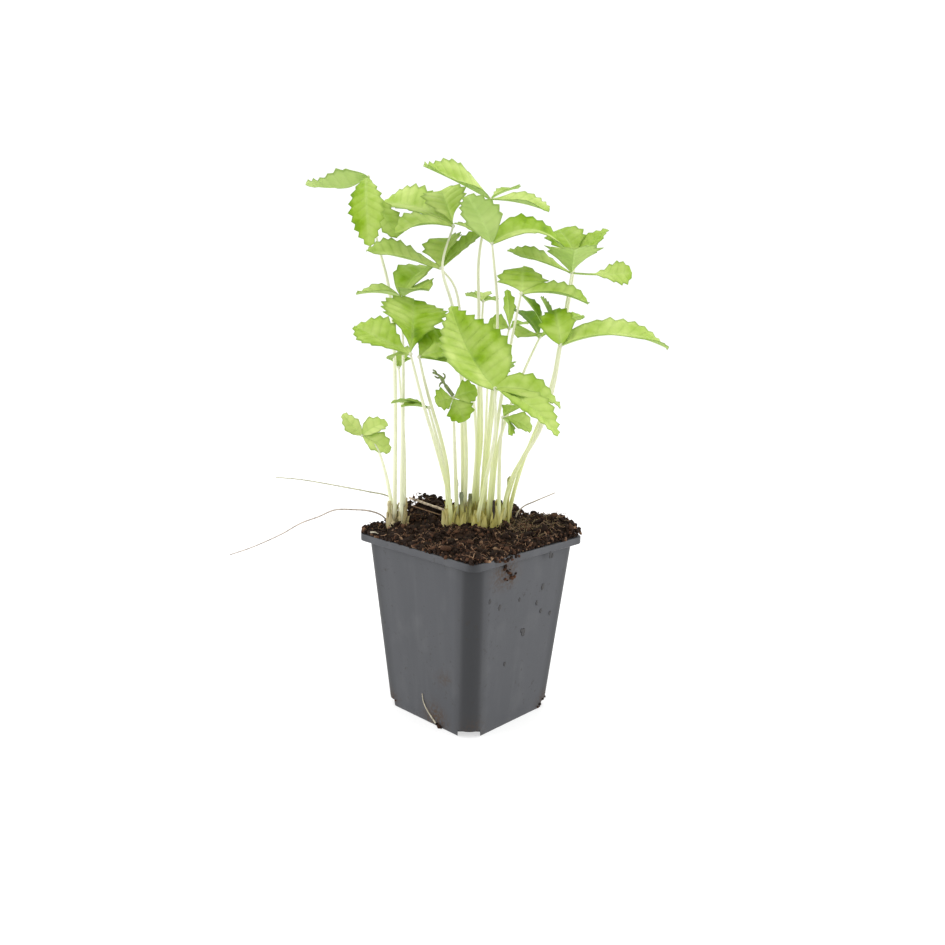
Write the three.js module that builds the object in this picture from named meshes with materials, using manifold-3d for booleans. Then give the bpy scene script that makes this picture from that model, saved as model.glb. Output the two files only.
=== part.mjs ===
// A young strawberry plant in a square nursery pot, in millimetres, +Z up, standing on z = 0.
// The pot's sides lie along X and Y. The plant is laid out in a frame of its own, whose x runs
// from left to right and y from front to back as seen with one corner of the pot in front.

import * as THREE from 'three';
import { mergeVertices } from 'three/addons/utils/BufferGeometryUtils.js';
import Module from 'manifold-3d';

const wasm = await Module();
wasm.setup();

// Driving dimensions of the pot.
const POT_HEIGHT = 100;
const RIM_HALF = 45;
const RIM_RADIUS = 6;
const WALL_TOP_HALF = 42.2;
const BASE_HALF = 33.5;
const WALL_RADIUS = 8.5;
const WALL = 1.2;
const FLOOR = 1.5;
const SKIRT_DEPTH = 4;
const FLANGE = 1.4;
const NOTCH_WIDTH = 12;
const NOTCH_HEIGHT = 4;
const NOTCH_REACH = 8;

// Driving dimensions of the soil and the plant.
const GAP = 0.3;
const HOLE = 0.4;
const SOIL_LIP_HALF = 43.9;
const SOIL_SIDE_POINTS = 3;
const PLANT_TURN = -46.5;
const SINK = 9;
const STALK_BASE = 1.15;
const STALK_TOP = 0.5;
const SHEATH = 1.5;
const SHEATH_LENGTH = 14;
const BLADE = 0.6;
const WEDGE = 0.3;
const CORNER_STEPS = 4;

// Meshes and solids.

function geometryOf(points, triangles) {
  const geometry = new THREE.BufferGeometry();
  const places = points.flatMap((p) => [p.x, p.y, p.z]);
  geometry.setAttribute('position', new THREE.Float32BufferAttribute(places, 3));
  geometry.setIndex(triangles.flat());
  return geometry;
}

function solidOf(geometry) {
  const bare = geometry.clone();
  bare.deleteAttribute('normal');
  bare.deleteAttribute('uv');
  const merged = mergeVertices(bare, 1e-4);
  return new wasm.Manifold(new wasm.Mesh({
    numProp: 3,
    vertProperties: new Float32Array(merged.attributes.position.array),
    triVerts: new Uint32Array(merged.index.array),
  }));
}

function meshOf(name, solid, material) {
  const cut = solid.getMesh();
  const geometry = new THREE.BufferGeometry();
  geometry.setAttribute('position', new THREE.BufferAttribute(new Float32Array(cut.vertProperties), 3));
  geometry.setIndex(new THREE.BufferAttribute(new Uint32Array(cut.triVerts), 1));
  geometry.computeVertexNormals();
  const mesh = new THREE.Mesh(geometry, material);
  mesh.name = name;
  return mesh;
}

function random(seed) {
  let state = seed;
  return () => {
    state = (state * 1664525 + 1013904223) % 4294967296;
    return state / 4294967296;
  };
}

// A ring of points round a square with rounded corners, with some more points along each side.
function squareRing(half, radius, z, sidePoints = 0) {
  const ring = [];
  for (let corner = 0; corner < 4; corner += 1) {
    const across = Math.SQRT2 * (half - radius);
    const middle = (corner + 0.5) * Math.PI / 2;
    const side = corner * Math.PI / 2;
    for (let step = 1; step <= sidePoints; step += 1) {
      const along = (half - radius) * (2 * step / (sidePoints + 1) - 1);
      ring.push(new THREE.Vector3(
        half * Math.cos(side) - along * Math.sin(side),
        half * Math.sin(side) + along * Math.cos(side),
        z,
      ));
    }
    for (let step = 0; step <= CORNER_STEPS; step += 1) {
      const angle = (corner + step / CORNER_STEPS) * Math.PI / 2;
      ring.push(new THREE.Vector3(
        across * Math.cos(middle) + radius * Math.cos(angle),
        across * Math.sin(middle) + radius * Math.sin(angle),
        z,
      ));
    }
  }
  return ring;
}

// A skin over rings that all have as many points, closed by a point at each end.
function loft(start, rings, end) {
  const count = rings[0].length;
  const points = [start, ...rings.flat(), end];
  const last = points.length - 1;
  const triangles = [];
  for (let i = 0; i < count; i += 1) {
    const next = (i + 1) % count;
    triangles.push([0, 1 + next, 1 + i]);
    for (let ring = 0; ring + 1 < rings.length; ring += 1) {
      const low = 1 + ring * count;
      const high = low + count;
      triangles.push([low + i, low + next, high + next], [low + i, high + next, high + i]);
    }
    const top = 1 + (rings.length - 1) * count;
    triangles.push([last, top + i, top + next]);
  }
  return geometryOf(points, triangles);
}

// A round stalk along a smooth curve, its radius given by how far along it is in millimetres.
function tube(route, radiusAt, steps, sides) {
  const curve = new THREE.CatmullRomCurve3(route, false, 'centripetal');
  const frames = curve.computeFrenetFrames(steps, false);
  const length = curve.getLength();
  const rings = [];
  for (let step = 0; step <= steps; step += 1) {
    const centre = curve.getPointAt(step / steps);
    const radius = radiusAt(length * step / steps, length);
    const ring = [];
    for (let side = 0; side < sides; side += 1) {
      const angle = side / sides * 2 * Math.PI;
      ring.push(centre.clone()
        .addScaledVector(frames.normals[step], radius * Math.cos(angle))
        .addScaledVector(frames.binormals[step], radius * Math.sin(angle)));
    }
    rings.push(ring);
  }
  return loft(curve.getPointAt(0), rings, curve.getPointAt(1));
}

const vector = (place) => new THREE.Vector3(...place);

// The pot: a thin tapered square box with a turned-down rim and a notch under each corner.

const potMaterial = new THREE.MeshStandardMaterial({ color: 0x626265, roughness: 0.5, metalness: 0 });

const insideHalf = (z) => BASE_HALF - WALL + (WALL_TOP_HALF - BASE_HALF) * z / (POT_HEIGHT - FLANGE);
const INSIDE_RADIUS = WALL_RADIUS - WALL;

function makePot() {
  const skirtTop = POT_HEIGHT - FLANGE;
  const skirtBottom = POT_HEIGHT - SKIRT_DEPTH;
  const edge = 0.4;
  const rings = [
    squareRing(BASE_HALF, WALL_RADIUS, 0),
    squareRing(WALL_TOP_HALF, WALL_RADIUS, skirtTop),
    squareRing(RIM_HALF - WALL, RIM_RADIUS - WALL, skirtTop),
    squareRing(RIM_HALF - WALL, RIM_RADIUS - WALL, skirtBottom),
    squareRing(RIM_HALF, RIM_RADIUS, skirtBottom),
    squareRing(RIM_HALF, RIM_RADIUS, POT_HEIGHT - edge),
    squareRing(RIM_HALF - edge, RIM_RADIUS - edge, POT_HEIGHT),
    squareRing(insideHalf(POT_HEIGHT), INSIDE_RADIUS, POT_HEIGHT),
    squareRing(insideHalf(FLOOR), INSIDE_RADIUS, FLOOR),
  ];
  let pot = solidOf(loft(new THREE.Vector3(0, 0, 0), rings, new THREE.Vector3(0, 0, FLOOR)));

  const cornerReach = Math.SQRT2 * (BASE_HALF - WALL_RADIUS) + WALL_RADIUS;
  for (let corner = 0; corner < 4; corner += 1) {
    const notch = new THREE.BoxGeometry(2 * NOTCH_REACH, NOTCH_WIDTH, 2 * NOTCH_HEIGHT);
    notch.translate(cornerReach, 0, 0);
    notch.rotateZ((corner + 0.5) * Math.PI / 2);
    pot = pot.subtract(solidOf(notch));
  }
  return pot;
}

// The leaves, in the plant's own frame. A stalk is listed from its foot in the soil, given by x and y,
// up to the joint of its leaflets. Each leaflet has the place of its tip, its width, the height of
// its arch, the way its upper face looks, and its twist in degrees from the base to the tip.

const UP = [0, 0, 1];

const leaves = {
  leaf_top_left: {
    stalk: [[-43, 3], [-44, 10, 192], [-47.5, 14, 232], [-56, 16, 265], [-59, 14, 291.5]],
    leaflets: [
      { tip: [-91.5, 9, 286.5], width: 24, arch: -3.5, face: [0, 0.2, 1], widest: 0.4 },
      { tip: [-54.5, -15, 253], width: 15.5, arch: 10, face: [-0.05, -0.8, 0.6], fold: 8, widest: 0.66 },
      { tip: [-43, 10, 260], width: 16, arch: -2, face: [0, -0.4, 0.9], widest: 0.78 },
    ],
  },
  leaf_upper_left: {
    stalk: [[-4, 2], [-4, 4, 150], [-12, 0, 222], [-18, -5, 244], [-13, 5, 266]],
    leaflets: [
      { tip: [-43, -2, 261], width: 24, arch: 3, face: [0, -0.4, 1] },
      { tip: [-56, 46, 282], width: 25, arch: 4.5, face: [0, -0.5, 1], twist: -20, widest: 0.6 },
      { tip: [-20, 22, 286.5], width: 22, arch: 2, face: [0, -1, 0.3], widest: 0.7 },
    ],
  },
  leaf_middle_left: {
    stalk: [[-5, 6.5], [-6, 8, 150], [-11, 6, 233], [-19, 2, 244]],
    leaflets: [
      { tip: [-58, -3, 252], width: 26, arch: 1, face: [0, -0.4, 1] },
      { tip: [-15, 16, 261], width: 22, arch: 3, face: [-0.5, -0.7, 0.5] },
      { tip: [4, 13, 266], width: 10, arch: 1, face: [0, -0.4, 1], widest: 0.5 },
    ],
  },
  leaf_left: {
    stalk: [[-39, -1], [-38.5, 0, 192], [-40, 5, 228.5]],
    leaflets: [
      { tip: [-64, 2, 229.5], width: 17, arch: 2, face: [0, -0.2, 1], widest: 0.45 },
      { tip: [-22.5, 25, 246], width: 24, arch: 4.5, face: [-0.5, -0.6, 0.6], widest: 0.48 },
      { tip: [-25, -6, 232], width: 24, arch: 2, face: [0, -0.3, 1] },
    ],
  },
  leaf_front_left: {
    stalk: [[-11, -5], [-13, -9, 125], [-19, -18, 150], [-26, -27, 175], [-32, -35, 200]],
    leaflets: [
      { tip: [-60.5, -28, 213], width: 23, arch: 0, face: [0, -0.6, 1], widest: 0.65 },
      { tip: [-33, 1, 227], width: 32, arch: 2, face: [0.2, -0.75, 0.65], fold: 10, widest: 0.7 },
      { tip: [-42, -25, 197.5], width: 12, arch: 2, face: [0, -0.5, 0.9], fold: 8, widest: 0.55 },
    ],
  },
  leaf_inner_left: {
    stalk: [[-12.5, 4], [-14, 4, 135], [-17.5, 2, 152], [-24, -4, 175], [-26.5, -18, 188], [-28, -30, 198.5]],
    leaflets: [
      { tip: [-8, -14, 202], width: 35, arch: 2, face: [0, -0.65, 0.75], fold: 8, widest: 0.55 },
      { tip: [-12, -31, 202], width: 10, arch: 1, face: [0, -0.7, 0.7] },
      { tip: [-22, -12, 206], width: 12, arch: 1, face: [0.3, -0.6, 0.75] },
    ],
  },
  leaf_top: {
    stalk: [[3, 6], [3, 8, 160], [1.6, 6, 222], [1, 3, 250], [6.3, 10, 281]],
    leaflets: [
      { tip: [-28.5, -5, 294.5], width: 32, arch: 0.5, face: [0.3, -0.4, 0.9], widest: 0.45 },
      { tip: [37.5, 5, 274.5], width: 22, arch: 1.5, face: [-0.1, -0.3, 1] },
      { tip: [22, 32, 290], width: 10, arch: 1, face: [-0.2, -0.15, 1] },
    ],
  },
  leaf_upper: {
    stalk: [[6, 2], [8.5, 0, 160], [11.5, -4, 219], [7.5, -15, 256]],
    leaflets: [
      { tip: [-5.5, -34, 276], width: 19.5, arch: 2, face: [0, 0.5, 0.9], widest: 0.5 },
      { tip: [44, -4, 255.5], width: 21, arch: 8.5, face: [0.1, -0.6, 1], widest: 0.43 },
      { tip: [-8, 10, 268], width: 19, arch: 2, face: [0, -0.4, 0.9] },
    ],
  },
  leaf_upper_right: {
    stalk: [[18, 8], [23, 4, 132], [38, -12, 170], [44, -11, 205], [49, -10, 242.5]],
    leaflets: [
      { tip: [15.5, -8, 253], width: 16, arch: 0.5, face: [0.1, -0.45, 1] },
      { tip: [47.5, -34, 252], width: 25, arch: 2, face: [0, 0.3, 1] },
      { tip: [81, -5, 243.5], width: 12, arch: -1, face: [0, 0.1, 1], twist: 85, fold: 8, widest: 0.8 },
    ],
  },
  leaf_far_right: {
    stalk: [[21, 11], [27, 12, 135], [40, 5, 175], [47, 0, 212], [53, 8, 252]],
    leaflets: [
      { tip: [70, 14, 267], width: 12, arch: 0, face: [-0.3, -0.5, 0.9], widest: 0.5 },
      { tip: [44, 22, 267], width: 20, arch: 2, face: [0.1, -0.8, 0.5], fold: 8 },
      { tip: [58, 38, 260], width: 14, arch: 3, face: UP },
    ],
  },
  leaf_middle: {
    stalk: [[9, -2], [12.5, -8, 160], [17.5, -17, 200], [22.5, -25, 231]],
    leaflets: [
      { tip: [24, -8, 245], width: 23, arch: 1, face: [0, -0.8, 0.55], fold: -9, widest: 0.6 },
      { tip: [57, -20, 226.5], width: 22, arch: 3, face: [0.05, -0.35, 1] },
      { tip: [35, -12, 215], width: 11, arch: 1, face: [0.8, -0.3, 0.5] },
    ],
  },
  leaf_middle_right: {
    stalk: [[11, 3], [14, 2, 150], [26, -4, 190], [34, -5, 209]],
    leaflets: [
      { tip: [22, 8, 223], width: 16, arch: 2, face: [0.6, -0.6, 0.6] },
      { tip: [22, -18, 209], width: 16, arch: 2, face: [0, -0.4, 1] },
      { tip: [60, 30, 221], width: 13, arch: 2, face: [0, -0.4, 0.9] },
    ],
  },
  leaf_right: {
    stalk: [[17, 2], [21, -3, 131], [35, -22, 163], [40, -31, 185], [42, -40, 206]],
    leaflets: [
      { tip: [40, -21, 223.5], width: 16, arch: 2, face: [-0.1, -0.9, 0.3], widest: 0.45 },
      { tip: [95, -38, 205.5], width: 27, arch: 6.5, face: [0.1, -0.3, 1], widest: 0.4 },
      { tip: [34, -4, 230], width: 7, arch: 1, face: [1, 0, 0.3] },
    ],
  },
  leaf_front: {
    stalk: [[3, -7], [6.5, -14, 130], [11, -30, 160], [10, -50, 185]],
    leaflets: [
      { tip: [-12.5, -32, 224], width: 39, arch: -5, face: [0.4, -0.8, 0.5], fold: 20, widest: 0.38 },
      { tip: [42.5, -45, 176], width: 20, arch: 4, face: [0.15, -0.5, 0.9], widest: 0.35 },
      { tip: [39, -72, 165.5], width: 17.5, arch: 4, face: [0.3, -0.5, 0.85], widest: 0.48 },
    ],
  },
  leaf_low_left: {
    stalk: [[-13, 0], [-15, -4, 135], [-24, -10, 171]],
    leaflets: [
      { tip: [-44, -10, 173], width: 8, arch: 2, face: UP },
      { tip: [-40, -3, 173], width: 7, arch: 1, face: UP },
      { tip: [-38, -17, 172], width: 7, arch: 1, face: UP },
    ],
  },
  leaf_young: {
    stalk: [[-8, -1], [-9, -4, 130], [-11, -15, 177]],
    leaflets: [
      { tip: [-20, -19, 174.5], width: 11, arch: 1, face: [-0.2, -0.9, 0.3] },
      { tip: [1.5, -14, 181], width: 12, arch: 1, face: [0, -0.9, 0.4] },
      { tip: [-4.5, -18, 165], width: 13, arch: 1, face: [0.1, -0.95, 0.2] },
    ],
    twig: [[-11, -15, 178], [-15.5, -15, 184], [-18, -14, 188], [-22, -14, 190]],
  },
  leaf_back_left: {
    stalk: [[-44, 7.5], [-51, 25, 131], [-58, 35, 144], [-66, 40, 148.5]],
    leaflets: [
      { tip: [-77, 38, 161.5], width: 9, arch: 1, face: [-0.4, -0.6, 0.5], widest: 0.5 },
      { tip: [-51.5, 45, 155.5], width: 13, arch: 2, face: [-0.2, -0.7, 0.7], widest: 0.5 },
      { tip: [-49, 36, 139.5], width: 12, arch: 2, face: [0.3, -0.8, 0.5], widest: 0.55 },
    ],
  },
  leaf_small_left: {
    stalk: [[-38, 9], [-39.5, 19, 150], [-43, 24, 190]],
    leaflets: [
      { tip: [-50, 26, 195], width: 8, arch: 1, face: UP },
      { tip: [-36, 28, 195], width: 8, arch: 1, face: UP },
      { tip: [-42, 32, 197], width: 8, arch: 1, face: UP },
    ],
  },
  leaf_small_middle: {
    stalk: [[0, 9], [4.5, 14, 150], [3, 25, 200], [4, 33, 228]],
    leaflets: [
      { tip: [-6, 36, 231], width: 13, arch: 1, face: UP },
      { tip: [12, 36, 228.5], width: 11, arch: 1, face: UP },
      { tip: [4, 46, 233], width: 9, arch: 1, face: UP },
    ],
  },
  leaf_small_right: {
    stalk: [[7, 8], [9, 14, 150], [15, 22, 195], [19, 26, 213]],
    leaflets: [
      { tip: [17, 26, 234.5], width: 6.5, arch: 1, face: [0.4, -0.8, 0.1] },
      { tip: [7, 28, 215], width: 14, arch: 1, face: [0, -0.6, 0.8] },
      { tip: [30, 34, 216], width: 10, arch: 1, face: UP },
    ],
  },
  leaf_low_right: {
    stalk: [[15, -3.5], [14.5, -8, 145], [15, -22, 168]],
    leaflets: [
      { tip: [30, -22, 161], width: 12, arch: 2, face: [0.3, -0.6, 0.8] },
      { tip: [18, -30, 160], width: 8, arch: 2, face: [0.9, -0.3, 0.3] },
      { tip: [24, -12, 173], width: 10, arch: 1, face: UP },
    ],
  },
  leaf_back: {
    stalk: [[0, 15], [2, 24, 150], [-4, 37, 182], [-18, 44, 200]],
    leaflets: [
      { tip: [-38, 60, 202], width: 24, arch: 5, face: [0, 0.2, 1] },
      { tip: [-20, 80, 198], width: 26, arch: 6, face: [0, 0.2, 1] },
      { tip: [2, 66, 202], width: 24, arch: 5, face: [0, 0.2, 1] },
    ],
  },
  leaf_back_right: {
    stalk: [[5, 11.5], [7, 19, 150], [7.5, 32, 175], [8, 38, 184]],
    leaflets: [
      { tip: [-1, 56, 194], width: 16, arch: 4, face: UP },
      { tip: [14, 70, 182], width: 24, arch: 6, face: [0, 0.2, 1] },
      { tip: [26, 54, 176], width: 14, arch: 3, face: UP },
    ],
  },
};

const leafMaterial = (name) => new THREE.MeshStandardMaterial({
  name,
  color: 0x9cc83c,
  roughness: 0.55,
  metalness: 0,
});

// How wide half a leaflet is at s, from 0 at its stalk to 1 at its tip, for a width of 1.
function leafletHalf(s, widest) {
  const bias = Math.log(0.5) / Math.log(widest);
  return 0.5 * Math.sin(Math.PI * s ** bias) ** 0.85;
}

// One saw-edged leaflet as a thin arched blade, folded a little along its midrib.
function leaflet(joint, { tip, width, arch, face, twist = 0, fold = 16, widest = 0.62 }) {
  const start = vector(joint);
  const chord = vector(tip).sub(start);
  const length = chord.length();
  const along = chord.clone().normalize();
  const up = vector(face);
  up.addScaledVector(along, -up.dot(along)).normalize();
  const teeth = Math.round(THREE.MathUtils.clamp(length / 6.5, 3, 6));
  const lift = THREE.MathUtils.degToRad(fold);
  const half = (s) => width * leafletHalf(s, widest);
  const tooth = 0.05 * width;

  function place(s, across, level) {
    const rise = 4 * arch * s * (1 - s);
    const tangent = along.clone().addScaledVector(up, 4 * arch * (1 - 2 * s) / length).normalize();
    const normal = up.clone().addScaledVector(tangent, -up.dot(tangent)).normalize();
    normal.applyAxisAngle(tangent, THREE.MathUtils.degToRad(twist * s));
    const side = tangent.clone().cross(normal);
    return start.clone()
      .addScaledVector(chord, s)
      .addScaledVector(up, rise)
      .addScaledVector(side, across * Math.cos(lift))
      .addScaledVector(normal, Math.abs(across) * Math.sin(lift) + level / Math.cos(lift));
  }

  // The rib's stations, and for each side the edge from the stalk through the saw teeth.
  const valley = (i) => WEDGE + (1 - WEDGE) * i / teeth;
  const rib = [0, WEDGE / 2];
  const edge = [[0, BLADE], [WEDGE / 2, Math.max(BLADE, half(WEDGE / 2))]];
  for (let i = 0; i < teeth; i += 1) {
    rib.push(valley(i));
    edge.push([valley(i), half(valley(i))]);
    const peak = valley(i + 0.72);
    edge.push([peak, half(peak) + tooth]);
  }
  rib.push(1);

  const points = [];
  const ribAt = {};
  const edgeAt = { right: {}, left: {} };
  for (const level of [BLADE / 2, -BLADE / 2]) {
    ribAt[level] = rib.map((s) => points.push(place(s, 0, level)) - 1);
    for (const [side, sign] of [['right', 1], ['left', -1]]) {
      edgeAt[side][level] = edge.map(([s, across]) => points.push(place(s, sign * across, level)) - 1);
      edgeAt[side][level].push(ribAt[level].at(-1));
    }
  }

  const triangles = [];
  const face3 = (a, b, c, flip) => triangles.push(flip ? [a, c, b] : [a, b, c]);
  for (const side of ['right', 'left']) {
    const mirrored = side === 'left';
    for (const level of [BLADE / 2, -BLADE / 2]) {
      const flip = mirrored !== (level < 0);
      const r = ribAt[level];
      const e = edgeAt[side][level];
      for (const i of [0, 1]) {
        face3(r[i], e[i], e[i + 1], flip);
        face3(r[i], e[i + 1], r[i + 1], flip);
      }
      for (let i = 0; i < teeth; i += 1) {
        const at = 2 + 2 * i;
        face3(r[2 + i], e[at], e[at + 1], flip);
        face3(r[2 + i], e[at + 1], e[at + 2], flip);
        if (i + 1 < teeth) face3(r[2 + i], e[at + 2], r[3 + i], flip);
      }
    }
    const top = edgeAt[side][BLADE / 2];
    const bottom = edgeAt[side][-BLADE / 2];
    for (let i = 0; i + 1 < top.length; i += 1) {
      face3(top[i], bottom[i], bottom[i + 1], mirrored);
      face3(top[i], bottom[i + 1], top[i + 1], mirrored);
    }
  }
  const [rt, rb] = [ribAt[BLADE / 2][0], ribAt[-BLADE / 2][0]];
  for (const side of ['right', 'left']) {
    const [et, eb] = [edgeAt[side][BLADE / 2][0], edgeAt[side][-BLADE / 2][0]];
    face3(rt, rb, eb, side === 'left');
    face3(rt, eb, et, side === 'left');
  }
  return geometryOf(points, triangles);
}

// The stalk's route starts below the soil and leaves it straight up.
function stalkRoute(stalk, deeper = 0) {
  const [x, y] = stalk[0];
  const top = soilHeight(x, y);
  return [[x, y, top - SINK - deeper], [x, y, top + 1], ...stalk.slice(1)].map(vector);
}

function stalkRadius(extra) {
  return (at, length) => {
    const plain = THREE.MathUtils.lerp(STALK_BASE, STALK_TOP, (at / length) ** 2);
    const sheath = SHEATH - STALK_BASE;
    return plain + sheath * Math.max(0, 1 - at / (SINK + SHEATH_LENGTH)) + extra;
  };
}

const STALK_STEPS = 9;
const STALK_SIDES = 5;

function makeLeaf({ stalk, leaflets, twig }) {
  const joint = stalk.at(-1);
  let leaf = solidOf(tube(stalkRoute(stalk), stalkRadius(0), STALK_STEPS, STALK_SIDES));
  const knob = new THREE.IcosahedronGeometry(1.3, 0);
  knob.translate(...joint);
  leaf = leaf.add(solidOf(knob));
  for (const one of leaflets) leaf = leaf.add(solidOf(leaflet(joint, one)));
  if (twig) leaf = leaf.add(solidOf(tube(twig.map(vector), () => 0.7, 4, 5)));
  return leaf;
}

// Stubs of old stalks, a dry stick, loose roots and a splinter, from their foot in the soil outwards.

const strands = {
  stub_left: { route: [[-8, 4.5], [-9, 5.5, 129.5]], radius: 1, colour: 0x5c5a46 },
  stub_middle: { route: [[-5, -3.5], [-6, -2, 124]], radius: 1.1, colour: 0x9a9468 },
  stub_centre: { route: [[-1, -2], [-1, 0, 123]], radius: 1, colour: 0x86834f },
  stub_crown: { route: [[-46.3, 3], [-46, 4, 117]], radius: 1.1, colour: 0xcfc596 },
  stub_hooked: {
    route: [[20.5, 4], [20, 3, 126], [20.5, 2, 132], [22.5, 1.5, 131]],
    radius: 0.8,
    colour: 0xb9bb84,
  },
  dry_stick: { route: [[12, -5], [12, -5, 120.5]], radius: 0.8, colour: 0x2b2018 },
  root_long: {
    route: [[-47, 6], [-50, 5, 108], [-56, 3, 111], [-66, 2, 112], [-76, 0, 112], [-85, 0, 108],
      [-95, 0, 104], [-105, 0, 98], [-115, 0, 93], [-124, 0, 89], [-135, 0, 85]],
    radius: 0.5,
    colour: 0xa08c7c,
  },
  root_upper: {
    route: [[-40, 13.5], [-47, 18, 116], [-60, 19, 119], [-73, 20, 121], [-85, 20, 123], [-99, 20, 125],
      [-113, 20, 126]],
    radius: 0.5,
    colour: 0xc9c7a8,
  },
  root_right: {
    route: [[26, 18], [30, 20, 112], [36, 20, 115], [48, 22, 120]],
    radius: 0.5,
    colour: 0xc4b8a2,
  },
};

function strandSolid({ route, radius }, extra) {
  return solidOf(tube(stalkRoute(route, extra), () => radius + extra, Math.max(3, 2 * route.length), 5));
}

const SPLINTER = { from: [-37, 30, 113.6], to: [-14, 15, 109.4], width: 2, thickness: 1.2 };

function splinterSolid(extra) {
  const from = vector(SPLINTER.from);
  const to = vector(SPLINTER.to);
  const box = new THREE.BoxGeometry(
    SPLINTER.width + 2 * extra,
    SPLINTER.thickness + 2 * extra,
    from.distanceTo(to) + 2 * extra,
  );
  const holder = new THREE.Object3D();
  holder.position.copy(from).lerp(to, 0.5);
  holder.up.set(0, 0, 1);
  holder.lookAt(to);
  holder.updateMatrix();
  box.applyMatrix4(holder.matrix);
  return solidOf(box);
}

// The soil: a heaped block of peat that fills the pot and spills over the rim's top.

function soilHeight(x, y) {
  const mound = (cx, cy, high, spread) =>
    high * Math.exp(-((x - cx) ** 2 + (y - cy) ** 2) / (2 * spread ** 2));
  return 101.4 + mound(0, 4, 5, 22) + mound(-28, 31, 12, 13) + mound(18, 36, 7, 12)
    + mound(48, 6, 8.5, 13);
}

function makeSoil() {
  const draw = random(7);
  const turn = THREE.MathUtils.degToRad(-PLANT_TURN);
  const axis = new THREE.Vector3(0, 0, 1);
  const soilInside = (z) => insideHalf(z) - GAP;
  const bottom = FLOOR + GAP;
  const fill = NOTCH_HEIGHT + 2 * GAP;
  const spill = POT_HEIGHT + GAP;

  function heap(half, radius, rough) {
    const ring = squareRing(half, radius, 0, SOIL_SIDE_POINTS);
    for (const point of ring) {
      const seen = point.clone().applyAxisAngle(axis, turn);
      point.z = soilHeight(seen.x, seen.y) + rough * (draw() - 0.5);
    }
    return ring;
  }

  const rings = [
    squareRing(soilInside(bottom) - 1, 17, bottom, SOIL_SIDE_POINTS),
    squareRing(soilInside(fill), INSIDE_RADIUS - GAP, fill, SOIL_SIDE_POINTS),
    squareRing(soilInside(spill), INSIDE_RADIUS - GAP, spill, SOIL_SIDE_POINTS),
    squareRing(SOIL_LIP_HALF, RIM_RADIUS - 1, spill, SOIL_SIDE_POINTS),
    heap(SOIL_LIP_HALF - 0.8, RIM_RADIUS - 1.5, 0.8),
    heap(38, 9, 2),
    heap(31, 11, 1.6),
    heap(23, 12, 1),
    heap(14, 10, 0.6),
    heap(6, 5, 0.4),
  ];
  const body = solidOf(loft(
    new THREE.Vector3(0, 0, bottom),
    rings,
    new THREE.Vector3(0, 0, soilHeight(0, 0)),
  ));

  // Plain holes for every stalk and strand, in the plant's frame, turned into the pot's.
  let holes = splinterSolid(GAP);
  for (const { stalk } of Object.values(leaves)) {
    holes = holes.add(solidOf(tube(stalkRoute(stalk, GAP), stalkRadius(HOLE), STALK_STEPS, STALK_SIDES)));
  }
  for (const strand of Object.values(strands)) holes = holes.add(strandSolid(strand, HOLE));
  return body.subtract(holes.rotate([0, 0, PLANT_TURN]));
}

// The whole part.

const part = new THREE.Group();
part.add(meshOf('pot', makePot(), potMaterial));
const soilMaterial = new THREE.MeshStandardMaterial({ color: 0x32261e, roughness: 0.95, metalness: 0 });
part.add(meshOf('soil', makeSoil(), soilMaterial));

const plant = new THREE.Group();
plant.rotation.z = THREE.MathUtils.degToRad(PLANT_TURN);
for (const [name, leaf] of Object.entries(leaves)) {
  plant.add(meshOf(name, makeLeaf(leaf), leafMaterial(name)));
}
for (const [name, strand] of Object.entries(strands)) {
  const material = new THREE.MeshStandardMaterial({ color: strand.colour, roughness: 0.8, metalness: 0 });
  plant.add(meshOf(name, strandSolid(strand, 0), material));
}
const splinterMaterial = new THREE.MeshStandardMaterial({ color: 0xb09a84, roughness: 0.8 });
plant.add(meshOf('splinter', splinterSolid(0), splinterMaterial));
part.add(plant);

export default part;
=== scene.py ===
import math
import random

import bpy
import numpy as np
from mathutils import Matrix, Vector, noise


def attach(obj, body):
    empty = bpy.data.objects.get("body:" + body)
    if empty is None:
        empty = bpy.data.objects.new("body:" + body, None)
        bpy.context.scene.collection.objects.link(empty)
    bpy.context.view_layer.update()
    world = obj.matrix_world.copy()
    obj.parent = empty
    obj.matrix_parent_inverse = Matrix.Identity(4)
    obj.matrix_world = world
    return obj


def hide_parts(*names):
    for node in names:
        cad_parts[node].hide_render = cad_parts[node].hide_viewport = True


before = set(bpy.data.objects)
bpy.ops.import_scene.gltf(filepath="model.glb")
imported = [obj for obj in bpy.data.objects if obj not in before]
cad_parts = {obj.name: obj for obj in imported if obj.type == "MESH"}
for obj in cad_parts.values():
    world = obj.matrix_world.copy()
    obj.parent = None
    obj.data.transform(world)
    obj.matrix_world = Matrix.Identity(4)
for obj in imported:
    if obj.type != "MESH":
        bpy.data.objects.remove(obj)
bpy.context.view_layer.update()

# The pot: a thin-walled, tapered square nursery pot with rounded corners and a turned-down rim.
# It is injection-moulded in one piece of dark grey polypropylene, with a small drain notch
# under each bottom corner. Wet compost has left brown smears low on one side and under the rim.

MM = 0.001
POT_HEIGHT = 100
RIM_HALF = 45
RIM_RADIUS = 6
WALL_TOP_HALF = 42.2
BASE_HALF = 33.5
WALL_RADIUS = 8.5
WALL = 1.2
FLOOR = 1.5
FLANGE = 1.4
SKIRT_DEPTH = 4
RIM_EDGE = 0.5
NOTCH_WIDTH = 12
NOTCH_HEIGHT = 4
NOTCH_REACH = 8
POT_CORNER_STEPS = 14
POT_SIDE_POINTS = 12
POT_SHARP = 32
BOW = 0.35
BOW_REACH = 30
# How softly the painted corner shade fades out on the wall and on the rim.
WALL_CORNER_SHADE = 2.5
RIM_CORNER_SHADE = 6
SKIRT_TOP = POT_HEIGHT - FLANGE
SKIRT_BOTTOM = POT_HEIGHT - SKIRT_DEPTH
PLANT_TURN = math.radians(-46.5)

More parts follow.
